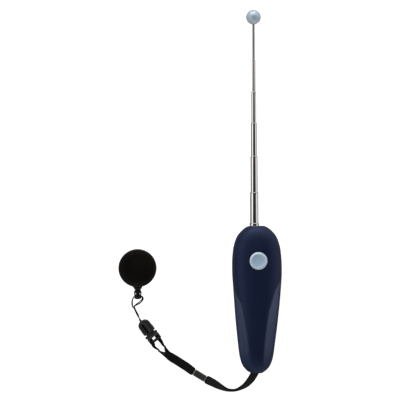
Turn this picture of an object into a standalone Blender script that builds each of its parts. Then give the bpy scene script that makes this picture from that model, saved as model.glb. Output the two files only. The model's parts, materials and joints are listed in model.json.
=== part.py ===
"""Clicker target stick: telescopic steel rod with a soft ball tip, hollow two-shell
handle with a built-in clicker, and a webbing lanyard that ends in a small
quick-release buckle and a retractable reel with a belt clip.

Frame: metres, +Z up. The object lies on its back on the plane z = 0. The stick
points along +Y, +X is to the right of somebody who looks down on the button.
The origin is the middle of the handle's flat back face.
All lengths below are millimetres and are scaled by MM when a mesh is made.
"""
import bpy
import bmesh
from math import sin, cos, pi, sqrt, radians, hypot
from mathutils import Vector, Matrix

MM = 0.001

# ---------------------------------------------------------------- dimensions
HANDLE_HALF = 62.0        # handle runs from y = -62 to +62
PART_Z = 12.0             # height of the parting plane between the two shells
WALL = 2.0                # shell wall
GAP = 0.3                 # general assembly gap
STICK_X, STICK_Z = -1.4, 10.5
FOOT_CLOSED = -31.0       # all sliding feet sit here when the stick is shut
FIXED_TOP = 64.3          # rim of the fixed outer tube
TUBE_R = [4.0, 3.5, 3.0, 2.55, 2.1, 1.6]      # outer radii, fixed tube first
TUBE_WALL = 0.25
ROD_R = 1.1
TOPS = [64.3, 90.3, 120.8, 148.7, 175.1, 202.3]   # tube ends as drawn out
BALL_BOTTOM = 231.7
BALL_R = 6.25
BUTTON = (1.65, 32.7)
BUTTON_R = 7.5
REEL = (-100.0, 26.9)
REEL_R = 16.0
REEL_Z0, REEL_Z1 = 6.8, 16.8
NECK_X = -99.9
BUCKLE = (-97.38, -18.11)   # rounded end of the buckle
BUCKLE_DIR = (0.6, -0.8)  # along the buckle, from its rounded end to its eye
WEB_W, WEB_T = 6.2, 1.1   # webbing
STRING_D = 0.7

for ob in list(bpy.data.objects):
    bpy.data.objects.remove(ob, do_unlink=True)

# ----------------------------------------------------------------- materials
MATS = {}


def mat(name, rgb, rough, metal=0.0):
    if name not in MATS:
        m = bpy.data.materials.new(name)
        m.use_nodes = True
        b = m.node_tree.nodes["Principled BSDF"]
        b.inputs["Base Color"].default_value = (*rgb, 1)
        b.inputs["Roughness"].default_value = rough
        b.inputs["Metallic"].default_value = metal
        MATS[name] = m
    return MATS[name]


NAVY = mat("navy_plastic", (0.012, 0.018, 0.042), 0.32)
BLUE = mat("light_blue_plastic", (0.33, 0.47, 0.58), 0.35)
CHROME = mat("chrome_steel", (0.75, 0.76, 0.78), 0.12, 1.0)
BRASS = mat("brass", (0.72, 0.52, 0.22), 0.3, 1.0)
STEEL = mat("spring_steel", (0.55, 0.56, 0.58), 0.28, 1.0)
SCREW = mat("screw_steel", (0.35, 0.35, 0.37), 0.35, 1.0)
BLACK = mat("black_plastic", (0.012, 0.011, 0.011), 0.38)
LABEL = mat("label_film", (0.014, 0.013, 0.012), 0.25)
WHITE = mat("white_plastic", (0.7, 0.7, 0.68), 0.4)
WEB = mat("black_webbing", (0.014, 0.014, 0.016), 0.85)
CORD = mat("black_cord", (0.016, 0.016, 0.018), 0.75)


# ------------------------------------------------------------------- helpers
def new_object(name, bm, material, sharp=35.0):
    bmesh.ops.recalc_face_normals(bm, faces=bm.faces)
    if bm.calc_volume(signed=True) < 0:
        bmesh.ops.reverse_faces(bm, faces=bm.faces)
    me = bpy.data.meshes.new(name)
    bm.to_mesh(me)
    bm.free()
    me.shade_smooth()
    me.set_sharp_from_angle(angle=radians(sharp))
    ob = bpy.data.objects.new(name, me)
    bpy.context.scene.collection.objects.link(ob)
    if material:
        me.materials.append(material)
    return ob


def cut(ob, tools, operation="DIFFERENCE"):
    """Applies Boolean tools to an object and throws the tools away."""
    for t in tools:
        m = ob.modifiers.new("b", "BOOLEAN")
        m.operation = operation
        m.solver = "EXACT"
        m.object = t
        dg = bpy.context.evaluated_depsgraph_get()
        me = bpy.data.meshes.new_from_object(ob.evaluated_get(dg))
        ob.modifiers.clear()
        old = ob.data
        ob.data = me
        bpy.data.meshes.remove(old)
        bpy.data.objects.remove(t, do_unlink=True)
    ob.data.shade_smooth()
    ob.data.set_sharp_from_angle(angle=radians(35))
    return ob


def frame(origin, axis, side):
    """Matrix whose Z is the axis and whose X is the side direction."""
    z = Vector(axis).normalized()
    x = (Vector(side) - z * Vector(side).dot(z)).normalized()
    y = z.cross(x)
    m = Matrix((x, y, z)).transposed().to_4x4()
    m.translation = Vector(origin) * MM
    return m


def lathe(name, profile, origin, axis, side, n, material, turn=0.5):
    """Turns a closed profile of (radius, height) points about an axis.
    A point on the axis is made once."""
    m = frame(origin, axis, side)
    bm = bmesh.new()
    rings = []
    for r, h in profile:
        if r < 1e-6:
            rings.append([bm.verts.new(m @ Vector((0, 0, h * MM)))])
        else:
            rings.append([bm.verts.new(m @ Vector((
                r * MM * cos(2 * pi * (k + turn) / n),
                r * MM * sin(2 * pi * (k + turn) / n), h * MM))) for k in range(n)])
    count = len(rings)
    closed = all(len(r) > 1 for r in rings)
    for i in range(count if closed else count - 1):
        a, b = rings[i], rings[(i + 1) % count]
        for k in range(n):
            j = (k + 1) % n
            if len(a) == 1 and len(b) == 1:
                continue
            if len(a) == 1:
                bm.faces.new((a[0], b[j], b[k]))
            elif len(b) == 1:
                bm.faces.new((a[k], a[j], b[0]))
            else:
                bm.faces.new((a[k], a[j], b[j], b[k]))
    return new_object(name, bm, material)


def prism(name, outline, origin, axis, side, depth, material, start=0.0):
    """Extrudes a flat outline of (u, v) points along the frame's axis."""
    m = frame(origin, axis, side)
    bm = bmesh.new()
    lo = [bm.verts.new(m @ Vector((u * MM, v * MM, start * MM))) for u, v in outline]
    hi = [bm.verts.new(m @ Vector((u * MM, v * MM, (start + depth) * MM))) for u, v in outline]
    n = len(outline)
    bm.faces.new(lo[::-1])
    bm.faces.new(hi)
    for k in range(n):
        j = (k + 1) % n
        bm.faces.new((lo[k], lo[j], hi[j], hi[k]))
    return new_object(name, bm, material)


def box(name, lo, hi, material=None):
    return prism(name, [(lo[0], lo[1]), (hi[0], lo[1]), (hi[0], hi[1]), (lo[0], hi[1])],
                 (0, 0, 0), (0, 0, 1), (1, 0, 0), hi[2] - lo[2], material, lo[2])


def rod(name, r, a, b, n=20, material=None, side=None, turn=0.5):
    a, b = Vector(a), Vector(b)
    d = b - a
    side = side or ((1, 0, 0) if abs(d.normalized().x) < 0.9 else (0, 0, 1))
    return lathe(name, [(0, 0), (r, 0), (r, d.length), (0, d.length)], a, d, side, n,
                 material, turn)


def rounded_rect(hx, hy, r, n=4):
    pts = []
    for cx, cy, a0 in ((hx - r, hy - r, 0), (-hx + r, hy - r, 90),
                       (-hx + r, -hy + r, 180), (hx - r, -hy + r, 270)):
        for k in range(n + 1):
            a = radians(a0 + 90 * k / n)
            pts.append((cx + r * cos(a), cy + r * sin(a)))
    return pts


def lerp_table(table, t):
    """Smooth (monotone cubic) reading of a table of (t, value) design stations."""
    if t <= table[0][0]:
        return table[0][1]
    if t >= table[-1][0]:
        return table[-1][1]
    n = len(table)
    k = max(i for i in range(n - 1) if table[i][0] <= t)

    def slope(i):
        return (table[i + 1][1] - table[i][1]) / (table[i + 1][0] - table[i][0])

    def tangent(i):
        if i == 0:
            return slope(0)
        if i == n - 1:
            return slope(n - 2)
        a, b = slope(i - 1), slope(i)
        return 0.0 if a * b <= 0 else 2 * a * b / (a + b)

    h = table[k + 1][0] - table[k][0]
    s = (t - table[k][0]) / h
    p0, p1 = table[k][1], table[k + 1][1]
    m0, m1 = tangent(k) * h, tangent(k + 1) * h
    return ((2 * s ** 3 - 3 * s ** 2 + 1) * p0 + (s ** 3 - 2 * s ** 2 + s) * m0
            + (-2 * s ** 3 + 3 * s ** 2) * p1 + (s ** 3 - s ** 2) * m1)


def smooth(a, b, t):
    t = min(1.0, max(0.0, (t - a) / (b - a)))
    return t * t * (3 - 2 * t)


# -------------------------------------------------------------- handle shape
# t is the distance from the nose of the handle, along the handle
HALF_WIDTH = [(0, 6.3), (0.8, 8.4), (2, 10.3), (3.5, 12.1), (7.7, 15.9), (12, 18.0),
              (16.2, 19.3), (20.4, 20.1), (28.8, 20.85), (36, 21.0), (41.4, 20.9),
              (49.8, 20.35), (62.5, 19.4), (79.3, 17.9), (96.2, 16.0), (108.8, 14.35),
              (113, 13.4), (117.2, 11.8), (121.0, 8.9), (123.0, 6.4), (124, 4.6)]
FRONT = [(0, 4.8), (0.8, 6.2), (3.5, 8.6), (7.7, 10.7), (12, 12.0), (20, 13.2),
         (29.5, 13.8), (41, 14.0), (60, 14.0), (80, 13.3), (100, 12.0), (110, 10.8),
         (117, 8.8), (121, 6.8), (124, 4.2)]
BACK = [(0, 6.7), (0.8, 7.9), (3.5, 9.8), (7.7, 11.3), (12, 12.1), (18, 12.5),
        (104, 12.5), (111, 11.3), (117, 9.2), (121, 6.9), (124, 4.2)]
CREASE_L = [(0, 0.97), (49, 0.97), (53, 0.945), (60, 0.835), (66, 0.69), (72, 0.635),
            (80, 0.575), (88, 0.525), (95, 0.485), (105, 0.45), (113, 0.45), (119, 0.5),
            (124, 0.6)]
CREASE_R = [(0, 0.97), (40, 0.97), (45.5, 0.94), (50, 0.85), (54, 0.76), (60, 0.685),
            (66, 0.615), (72, 0.545), (80, 0.5), (88, 0.465), (95, 0.45), (105, 0.43),
            (113, 0.44), (119, 0.5), (124, 0.6)]
# the outline isn't quite symmetric: its middle line wanders sideways by this much
BOW = [(0, 0.42), (27, 0.53), (47, 0.66), (60, 0.58), (74, 0.34), (88, 0.12), (101, -0.1),
       (124, -0.22)]


def eroded(table, t, d):
    """The same outline moved inwards by d."""
    if d == 0:
        return lerp_table(table, t)
    best = 1e9
    for k in range(-8, 9):
        dy = d * k / 8
        if 0 <= t + dy <= 2 * HANDLE_HALF:
            best = min(best, lerp_table(table, t + dy) - sqrt(d * d - dy * dy))
    return best


def front_height(u, t, inset=0.0):
    """Height above the parting plane at u = x / half width (-1..1)."""
    w, hf = eroded(HALF_WIDTH, t, inset), eroded(FRONT, t, inset)
    dome = hf * max(0.0, 1 - abs(u) ** 2.35) ** 0.5
    share = (smooth(40, 58, t) if u > 0 else smooth(48, 64, t)) * (1 - smooth(108, 120, t))
    if share <= 0:
        return dome
    c = lerp_table(CREASE_R if u > 0 else CREASE_L, t)
    e = 1 - 1.1 / w
    if abs(u) <= c:
        return dome
    top = hf * (1 - c ** 2.35) ** 0.5
    low = max(1.2, 2.9 - inset * 0.4)
    if abs(u) < e:
        s = (abs(u) - c) / max(1e-6, e - c)
        z = top + (low - top) * s - 1.1 * sin(pi * s) * min(1, max(0.0, e - c) * w / 6)
    else:
        s = (abs(u) - e) / (1 - e)
        z = low * max(0.0, 1 - s * s) ** 0.5
    return dome * (1 - share) + min(z, dome) * share


def back_depth(u, t, inset=0.0):
    hb = eroded(BACK, t, inset)
    d = hb * max(0.0, 1 - abs(u) ** 3.2) ** (1 / 2.2)
    return min(d, PART_Z - 0.15 - inset)


def columns(t, back):
    if back:
        right = [0, 0.4, 0.62, 0.78, 0.9, 0.97, 1.0]
        left = right
    else:
        e = 1 - 1.1 / lerp_table(HALF_WIDTH, t)
        left, right = [sorted([0, c * 0.5, c * 0.84, c, c + (e - c) * 0.3, c + (e - c) * 0.66,
                               e, 1.0])
                       for c in (lerp_table(CREASE_L, t), lerp_table(CREASE_R, t))]
    return [-v for v in left[:0:-1]] + right


def shell(name, height, flip, plane):
    """One shell: an outer skin, an inner skin 2 mm further in, and the rim between
    them on the parting plane. Both skins have the same number of rows."""
    if flip > 0:
        outer_t = [0, 0.9, 2.6, 5.4, 9.5, 15, 22, 31, 40, 47, 52, 57, 62, 69, 79, 91, 103,
                   110, 115, 119, 122, 123.3, 124]
    else:
        outer_t = [0, 0.9, 2.6, 5.4, 9.5, 15, 22, 32, 48, 66, 84, 100, 109, 115, 119, 122,
                   123.3, 124]
    lo, hi = WALL, 2 * HANDLE_HALF - WALL
    inner_t = [lo + (hi - lo) * t / 124.0 for t in outer_t]
    bm = bmesh.new()

    def skin(ts, inset):
        rows = []
        for t in ts:
            w = eroded(HALF_WIDTH, t, inset)
            mid = lerp_table(BOW, t)
            rows.append([bm.verts.new(((mid + u * w) * MM, (HANDLE_HALF - t) * MM,
                                       (plane + flip * height(u, t, inset)) * MM))
                         for u in columns(t, flip < 0)])
        for a, b in zip(rows, rows[1:]):
            for k in range(len(a) - 1):
                bm.faces.new((a[k], a[k + 1], b[k + 1], b[k]))
        bm.faces.new(rows[0][::-1])
        bm.faces.new(rows[-1])
        return rows

    out, inn = skin(outer_t, 0.0), skin(inner_t, WALL)
    for k in (0, -1):
        for i in range(len(out) - 1):
            bm.faces.new((out[i][k], out[i + 1][k], inn[i + 1][k], inn[i][k]))
    for i in (0, -1):
        bm.faces.new((out[i][0], inn[i][0], inn[i][-1], out[i][-1]))
    bmesh.ops.triangulate(bm, faces=bm.faces)
    return new_object(name, bm, NAVY, 40)


def rib(y, thick, height, flip, plane, top=None):
    """A cross rib that fills the inside of a shell and bites 1 mm into its wall."""
    t = HANDLE_HALF - y
    w = eroded(HALF_WIDTH, t, WALL - 0.6)
    pts = []
    n = 20
    for k in range(n + 1):
        u = -1 + 2 * k / n
        pts.append((lerp_table(BOW, t) + u * w,
                    plane + flip * max(0.27, height(u, t, WALL - 0.6))))
    pts = [(x, max(z, 1.0)) for x, z in pts]
    pts[0] = (pts[0][0] + 0.21, plane + flip * 0.27)
    pts[-1] = (pts[-1][0] - 0.21, plane + flip * 0.27)
    # the frame's axis is -Y, its side +X, so v points up
    return prism("rib", pts, (0, y + thick / 2, 0), (0, -1, 0), (1, 0, 0), thick, None)


# the two shells, 0.3 mm apart on the parting plane
front = shell("handle_front_shell", front_height, 1, PART_Z + 0.15)
back = shell("handle_back_shell", back_depth, -1, PART_Z - 0.15)

SCREWS = [(-12.4, 39.6), (12.4, 39.6), (0.0, -46.6)]
BOSS_R = 3.1
adds_f, adds_b = [], []
for y in (50.0, -3.0, -29.5, -40.5):
    adds_f.append(rib(y, 1.6, front_height, 1, PART_Z + 0.15))
for y in (50.0, 18.0, -10.0, -29.5, -40.5):
    adds_b.append(rib(y, 1.6, back_depth, -1, PART_Z - 0.15))
for x, y in SCREWS:
    around = [(x + dx * 3.8, HANDLE_HALF - y + dt * 3.8) for dx, dt in
              ((-1, 0), (1, 0), (0, -1), (0, 1), (0.7, 0.7), (-0.7, 0.7), (0.7, -0.7), (-0.7, -0.7))]
    ceiling = PART_Z - 1.0 + min(front_height((a - lerp_table(BOW, b)) / lerp_table(HALF_WIDTH, b), b)
                                 for a, b in around)
    floor = PART_Z + 1.0 - min(back_depth((a - lerp_table(BOW, b)) / lerp_table(HALF_WIDTH, b), b)
                               for a, b in around)
    adds_f.append(rod("boss", BOSS_R, (x, y, PART_Z + 0.4), (x, y, ceiling), 16))
    adds_b.append(rod("boss", BOSS_R + 0.6, (x, y, floor), (x, y, PART_Z - 0.4), 16))
# boss that carries the clicker leaf
LEAF_Y = 9.0
LEAF_X = 1.1
adds_f.append(box("boss", (LEAF_X - 5.2, LEAF_Y - 2.5, 18.25), (LEAF_X + 5.2, LEAF_Y + 2.5, 24.6)))
# posts that hold the strap pin
PIN_Y = -54.6
for sx in (-1, 1):
    x0 = sx * 6.0
    ends = (HANDLE_HALF - PIN_Y - 2.0, HANDLE_HALF - PIN_Y + 2.0)
    base = 0.8 + max(PART_Z - back_depth((abs(x0) + 1.3) / lerp_table(HALF_WIDTH, t), t)
                     for t in ends)
    adds_b.append(box("post", (x0 - 1.0, PIN_Y - 2.0, base), (x0 + 1.0, PIN_Y + 2.0, PART_Z + 0.9)))
    roof = min(PART_Z + front_height((abs(x0) + 1.3) / lerp_table(HALF_WIDTH, t), t)
               for t in ends) - 0.8
    adds_f.append(box("post", (x0 - 1.0, PIN_Y - 2.0, PART_Z + 2.2), (x0 + 1.0, PIN_Y + 2.0, roof)))
cut(front, adds_f, "UNION")
cut(back, adds_b, "UNION")

SIDE = (1, 0, 0)
for shell_ob in (front, back):
    tools = [
        # tube channel and nose hole, tail slot for the webbing
        lathe("cutter", [(0, 0), (4.3, 0), (4.3, 104), (0, 104)],
              (STICK_X, -38.0, STICK_Z), (0, 1, 0), SIDE, 20, None),
        prism("cutter", rounded_rect(4.9, 2.2, 1.6, 3), (-1.5, -57.0, PART_Z), (0, -1, 0),
              (1, 0, 0), 8.0, None),
        rod("cutter", 1.55, (-7.7, PIN_Y, PART_Z), (7.7, PIN_Y, PART_Z), 16),
    ]
    cut(shell_ob, tools)
bx, by = BUTTON
cut(front, [
    rod("cutter", BUTTON_R + 0.45, (bx, by, 20.0), (bx, by, 30.0), 32),
    rod("cutter", 9.7, (bx, by, 13.0), (bx, by, 22.7), 32),
    rod("cutter", 1.05, (LEAF_X, LEAF_Y, 17.0), (LEAF_X, LEAF_Y, 22.4), 12),
])
for x, y in SCREWS:
    cut(front, [rod("cutter", 1.05, (x, y, PART_Z - 1), (x, y, PART_Z + 6.6), 12)])
    cut(back, [rod("cutter", 2.95, (x, y, -1.0), (x, y, 5.0), 16),
               rod("cutter", 1.6, (x, y, 4.0), (x, y, PART_Z + 1), 12)])

# case screws: pan head, shank in the front shell's boss
for i, (x, y) in enumerate(SCREWS):
    lathe("shell_screw_%d" % (i + 1),
          [(0, 3.0), (1.9, 3.0), (2.6, 3.5), (2.6, 4.7), (1.25, 4.7), (1.25, 12.0),
           (0.75, 12.4), (0.75, 17.4), (0, 18.0)],
          (x, y, 0), (0, 0, 1), SIDE, 12, SCREW)

# ------------------------------------------------------------------- clicker
BUTTON_TOP = 26.7
cap = [(0, BUTTON_TOP - 0.75), (3.4, BUTTON_TOP - 0.62), (5.2, BUTTON_TOP - 0.3),
       (6.2, BUTTON_TOP), (7.1, BUTTON_TOP - 0.25), (BUTTON_R, BUTTON_TOP - 0.9),
       (BUTTON_R, 22.35), (9.3, 22.35), (9.3, 21.2), (6.3, 21.2), (6.3, 24.6), (2.2, 24.6),
       (2.0, 18.2), (0, 18.2)]
lathe("button_cap", cap, (bx, by, 0), (0, 0, 1), SIDE, 32, BLUE)

LEAF_Z0, LEAF_Z1 = 17.5, 17.9
outline = [(-4.5, -2.3), (4.5, -2.3), (4.5, 24.0), (3.2, 30.8), (-3.2, 30.8), (-4.5, 24.0)]
leaf = prism("clicker_leaf", outline, (LEAF_X, LEAF_Y, 0), (0, 0, 1), SIDE,
             LEAF_Z1 - LEAF_Z0, STEEL, LEAF_Z0)
cut(leaf, [rod("cutter", 1.75, (LEAF_X, LEAF_Y, 15.0), (LEAF_X, LEAF_Y, 20.0), 16)])
plate = prism("leaf_clamp_plate", [(-4.5, -2.2), (4.5, -2.2), (4.5, 2.2), (-4.5, 2.2)],
              (LEAF_X, LEAF_Y, 0), (0, 0, 1), SIDE, 0.8, STEEL, 16.35)
cut(plate, [rod("cutter", 1.5, (LEAF_X, LEAF_Y, 15.0), (LEAF_X, LEAF_Y, 20.0), 16)])
lathe("leaf_screw", [(0, 15.0), (1.6, 15.0), (2.2, 15.3), (2.2, 16.1), (1.2, 16.1),
                     (1.2, 18.0), (0.75, 18.2), (0.75, 21.6), (0, 22.1)],
      (LEAF_X, LEAF_Y, 0), (0, 0, 1), SIDE, 12, SCREW)

# ------------------------------------------------------------ telescopic rod
STICK_N = 16


def turned(name, profile, material, n=STICK_N):
    return lathe(name, profile, (STICK_X, 0, STICK_Z), (0, 1, 0), SIDE, n, material)


feet = [FOOT_CLOSED - 2.0]
for i in range(1, 6):
    closed_top = FIXED_TOP + i
    feet.append(TOPS[i] - (closed_top - FOOT_CLOSED))
for i, r in enumerate(TUBE_R):
    top, foot = TOPS[i], feet[i]
    bore = r - TUBE_WALL
    nxt = TUBE_R[i + 1] if i < 5 else ROD_R
    lip = nxt + 0.05
    turned("stick_tube_%d" % (i + 1),
           [(r, foot), (r, top - 0.35), (r - 0.15, top), (lip, top), (lip, top - 0.7),
            (bore, top - 0.9), (bore, foot)], CHROME)
rod_foot = BALL_BOTTOM - (FIXED_TOP + 6 - FOOT_CLOSED)
turned("stick_tip_rod", [(0, rod_foot), (ROD_R, rod_foot), (ROD_R, BALL_BOTTOM + 5.0),
                         (0, BALL_BOTTOM + 5.0)], CHROME)
# slit brass bushes pressed on the feet of the sliding sections
RUN = [3.66, 3.19, 2.70, 2.25, 1.80, 1.30]
for i in range(6):
    r_in = (TUBE_R[i + 1] if i < 5 else ROD_R) + 0.03
    foot = feet[i + 1] if i < 5 else rod_foot
    turned("foot_bush_%d" % (i + 2),
           [(r_in, foot + 0.6), (r_in, foot + 7.6), (RUN[i], foot + 7.6), (RUN[i], foot + 0.6)],
           BRASS)
# plug in the blind end of the fixed tube, with a flange between two ribs
turned("stick_base_plug", [(0, -38.4), (5.6, -38.4), (5.6, -33.4), (3.5, -33.4),
                           (3.5, -32.3), (0, -32.3)], BLACK)
# ball
prof = [(0, BALL_BOTTOM + 5.3), (1.25, BALL_BOTTOM + 5.3), (1.25, BALL_BOTTOM + 0.05)]
for k in range(1, 11):
    a = -pi / 2 + pi * k / 11
    if BALL_R * cos(a) > 1.3:
        prof.append((BALL_R * cos(a), BALL_BOTTOM + BALL_R + BALL_R * sin(a)))
prof.append((0, BALL_BOTTOM + 2 * BALL_R))
turned("tip_ball", prof, BLUE, 20)

# --------------------------------------------------------------- strap pin
rod("strap_pin", 1.25, (-7.4, PIN_Y, PART_Z), (7.4, PIN_Y, PART_Z), 16, STEEL)


# ------------------------------------------------------------------- webbing
def spline(rows, step):
    """Catmull-Rom through rows of equal length, read about every step mm."""
    out = []
    n = len(rows)
    for i in range(n - 1):
        p0, p1 = rows[max(i - 1, 0)], rows[i]
        p2, p3 = rows[i + 1], rows[min(i + 2, n - 1)]
        d = sqrt(sum((p2[k] - p1[k]) ** 2 for k in range(3)))
        m = max(1, round(d / step))
        for j in range(m):
            s = j / m
            out.append([0.5 * (2 * b + (c - a) * s + (2 * a - 5 * b + 4 * c - d_) * s * s
                               + (3 * b - a - 3 * c + d_) * s ** 3)
                        for a, b, c, d_ in zip(p0, p1, p2, p3)])
    out.append(list(rows[-1]))
    return out


# rows of the doubled webbing: x, y, z of the middle, twist in degrees, width and
# half the distance between the two layers
JOINED = [
    (-0.75, -60.4, 12.0, 0, 6.0, 0.85),
    (-1.9, -62.4, 11.7, 3, 6.1, 0.75),
    (-4.6, -67.2, 9.9, 30, 6.2, 0.72),
    (-9.45, -72.7, 7.4, 60, 6.6, 0.72),
    (-15.7, -76.25, 5.2, 80, 6.7, 0.72),
    (-20.6, -77.1, 4.1, 84, 6.7, 0.72),
    (-25.4, -76.45, 3.8, 76, 6.7, 0.72),
    (-30.5, -74.15, 3.65, 55, 6.7, 0.72),
    (-35.9, -71.15, 2.7, 25, 6.6, 0.72),
    (-40.7, -68.75, 2.0, 3, 6.4, 0.72),
    (-43.3, -67.5, 1.9, 0, 4.5, 0.72),
    (-47.9, -64.7, 1.9, 0, 4.4, 0.72),
    (-52.6, -61.8, 1.9, 0, 4.5, 0.72),
    (-55.0, -60.25, 1.8, 0, 6.6, 0.72),
    (-59.55, -56.9, 1.6, 0, 7.0, 0.72),
    (-66.7, -52.3, 1.5, 0, 7.0, 0.72),
    (-71.5, -49.3, 1.8, 5, 7.0, 0.72),
    (-74.0, -47.35, 2.8, 22, 6.6, 0.8),
    (-76.2, -45.5, 3.5, 50, 5.7, 1.65),
    (-78.8, -43.0, 3.3, 74, 4.7, 2.75),
    (-81.0, -40.2, 3.25, 82, 4.4, 3.5),
]


def webbing_rows(sign):
    """Rows of one layer: sign +1 is the upper one, and the left leg."""
    rows = []
    for x, y, z, tw, w, half in JOINED:
        rows.append([x, y, z, tw, w, sign * half])
    return rows


def place(rows):
    """Moves each row off the middle line by its offset, along the layer's normal."""
    pts = spline(rows, 2.0)
    out = []
    for i, p in enumerate(pts):
        a, b = Vector(pts[max(i - 1, 0)][:3]), Vector(pts[min(i + 1, len(pts) - 1)][:3])
        tan = (b - a).normalized()
        side = tan.cross(Vector((0, 0, 1))).normalized()
        up = side.cross(tan)
        c, s = cos(radians(p[3])), sin(radians(p[3]))
        wide = side * c + up * s
        thick = up * c - side * s
        out.append((Vector(p[:3]) + thick * p[5], wide, thick, p[4]))
    return out


def ribbon(name, frames, thick, material):
    bm = bmesh.new()
    rings = []
    for p, wide, nrm, w in frames:
        h, t = w / 2, thick / 2
        c = t * 0.7
        rings.append([bm.verts.new((p + wide * a + nrm * b) * MM) for a, b in (
            (h, 0), (h - c, t), (-h + c, t), (-h, 0), (-h + c, -t), (h - c, -t))])
    for a, b in zip(rings, rings[1:]):
        for k in range(6):
            j = (k + 1) % 6
            # the diagonals of both wide faces run the same way across a twist
            if k < 3:
                bm.faces.new((a[k], a[j], b[j]))
                bm.faces.new((a[k], b[j], b[k]))
            else:
                bm.faces.new((a[k], a[j], b[k]))
                bm.faces.new((a[j], b[j], b[k]))
    bm.faces.new(rings[0][::-1])
    bm.faces.new(rings[-1])
    return new_object(name, bm, material)


BA = Vector((BUCKLE[0], BUCKLE[1], 0.0))
BD = Vector((BUCKLE_DIR[0], BUCKLE_DIR[1], 0.0))
WIDE = 1.07                 # a little wider than its drawing
BE = Vector((-BUCKLE_DIR[1], BUCKLE_DIR[0], 0.0))


def at_buckle(s, l, z):
    p = BA + BD * s + BE * l
    return (p.x, p.y, z)


# beyond the joined part the two layers stand on edge and go to the buckle's eye as
# two legs, the upper layer over the crossbar and the lower layer under it
LEG_UP = [
    (-86.7, -39.9, 4.2, 66, 3.6),
    (*at_buckle(22.2, -3.6, 5.3), 28, 3.1),
    (*at_buckle(20.2, -3.2, 5.6), 4, 3.0),
    (*at_buckle(18.4, -2.85, 4.2), 0, 2.8),
    (*at_buckle(17.4, -2.75, 2.9), 0, 2.7),
]
LEG_LOW = [
    (-80.3, -35.8, 2.5, 58, 3.6),
    (*at_buckle(23.0, 2.95, 1.25), 16, 3.1),
    (*at_buckle(20.8, 2.75, 0.72), 0, 3.0),
    (*at_buckle(18.6, 2.65, 1.2), 0, 2.8),
    (*at_buckle(17.5, 2.6, 2.2), 0, 2.8),
]
up = webbing_rows(1) + [[*r[:5], 0.0] for r in LEG_UP]
low = webbing_rows(-1) + [[*r[:5], 0.0] for r in LEG_LOW]
up = [[-0.2, PIN_Y + 0.4, 14.3, 0, 6.0, 0.0], [-0.25, PIN_Y - 2.6, 13.6, 0, 6.0, 0.0]] + up
low = [[-0.2, PIN_Y + 0.4, 9.7, 0, 6.0, 0.0], [-0.25, PIN_Y - 2.6, 10.4, 0, 6.0, 0.0]] + low
ribbon("strap_run_upper", place(up), WEB_T, WEB)
ribbon("strap_run_lower", place(low), WEB_T, WEB)

# crimp ferrule round both layers
c0, c1 = Vector((-43.3, -67.5, 1.9)), Vector((-52.6, -61.8, 1.9))
cdir = (c1 - c0).normalized()
crimp = prism("strap_crimp", rounded_rect(2.8, 1.85, 0.9, 3), c0 - cdir * 0.25, cdir,
              cdir.cross(Vector((0, 0, 1))), (c1 - c0).length + 0.5, STEEL)
cut(crimp, [prism("cutter", rounded_rect(2.5, 1.55, 0.5, 2), c0 - cdir * 2, cdir,
                  cdir.cross(Vector((0, 0, 1))), (c1 - c0).length + 4, None)])


# -------------------------------------------------------------------- buckle
def buckle_prism(name, outline, z0, z1, material=None):
    outline = [(s, l * WIDE) for s, l in outline]
    return prism(name, outline, BA, (0, 0, 1), BD, (z1 - z0), material, z0)


def buckle_box(name, s0, s1, l0, l1, z0, z1, material=None):
    return buckle_prism(name, [(s0, l0), (s1, l0), (s1, l1), (s0, l1)], z0, z1, material)


end = []
for k in range(13):
    a = pi / 2 + pi * k / 12
    end.append((4.5 + 4.6 * cos(a), 4.95 * sin(a)))
socket = buckle_prism("buckle_socket", end + [(12.3, -5.0), (12.3, 5.0)], 0.5, 5.3, BLACK)
cut(socket, [
    buckle_box("cutter", 2.2, 13.0, -3.9, 3.9, 1.5, 4.3),
    buckle_box("cutter", 3.6, 13.0, -1.7, -0.2, 3.5, 6.0),
    rod("cutter", 1.15, at_buckle(-1.0, -0.3, 2.9), at_buckle(3.0, -0.3, 2.9), 12),
])
outline = [(2.8, 3.1), (4.2, 3.5), (13.2, 3.6), (13.5, 5.35), (15.0, 5.35), (15.6, 4.9),
           (16.4, 5.1), (21.3, 5.1), (21.3, -5.1), (16.4, -5.1), (15.6, -4.9),
           (15.0, -5.6), (13.5, -5.6), (13.2, -3.6), (4.2, -3.5), (2.8, -3.1),
           (2.8, -2.0), (11.6, -1.8), (11.6, -1.1), (5.2, -0.9), (5.2, 0.9), (11.6, 1.1),
           (11.6, 1.8), (2.8, 2.0)]
plug = buckle_prism("buckle_plug", outline, 1.85, 3.95, BLACK)
cut(plug, [buckle_box("block", 15.8, 21.3, -5.15, 5.15, 0.5, 5.3)], "UNION")
cut(plug, [
    buckle_box("cutter", 16.7, 19.6, -4.3, 4.3, -1.0, 7.0),       # eye
    buckle_box("cutter", 19.0, 22.0, -4.9, 4.9, 3.75, 7.0),         # bar stands low
    buckle_box("cutter", 19.0, 22.0, -4.9, 4.9, -1.0, 1.75),
])

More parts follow.
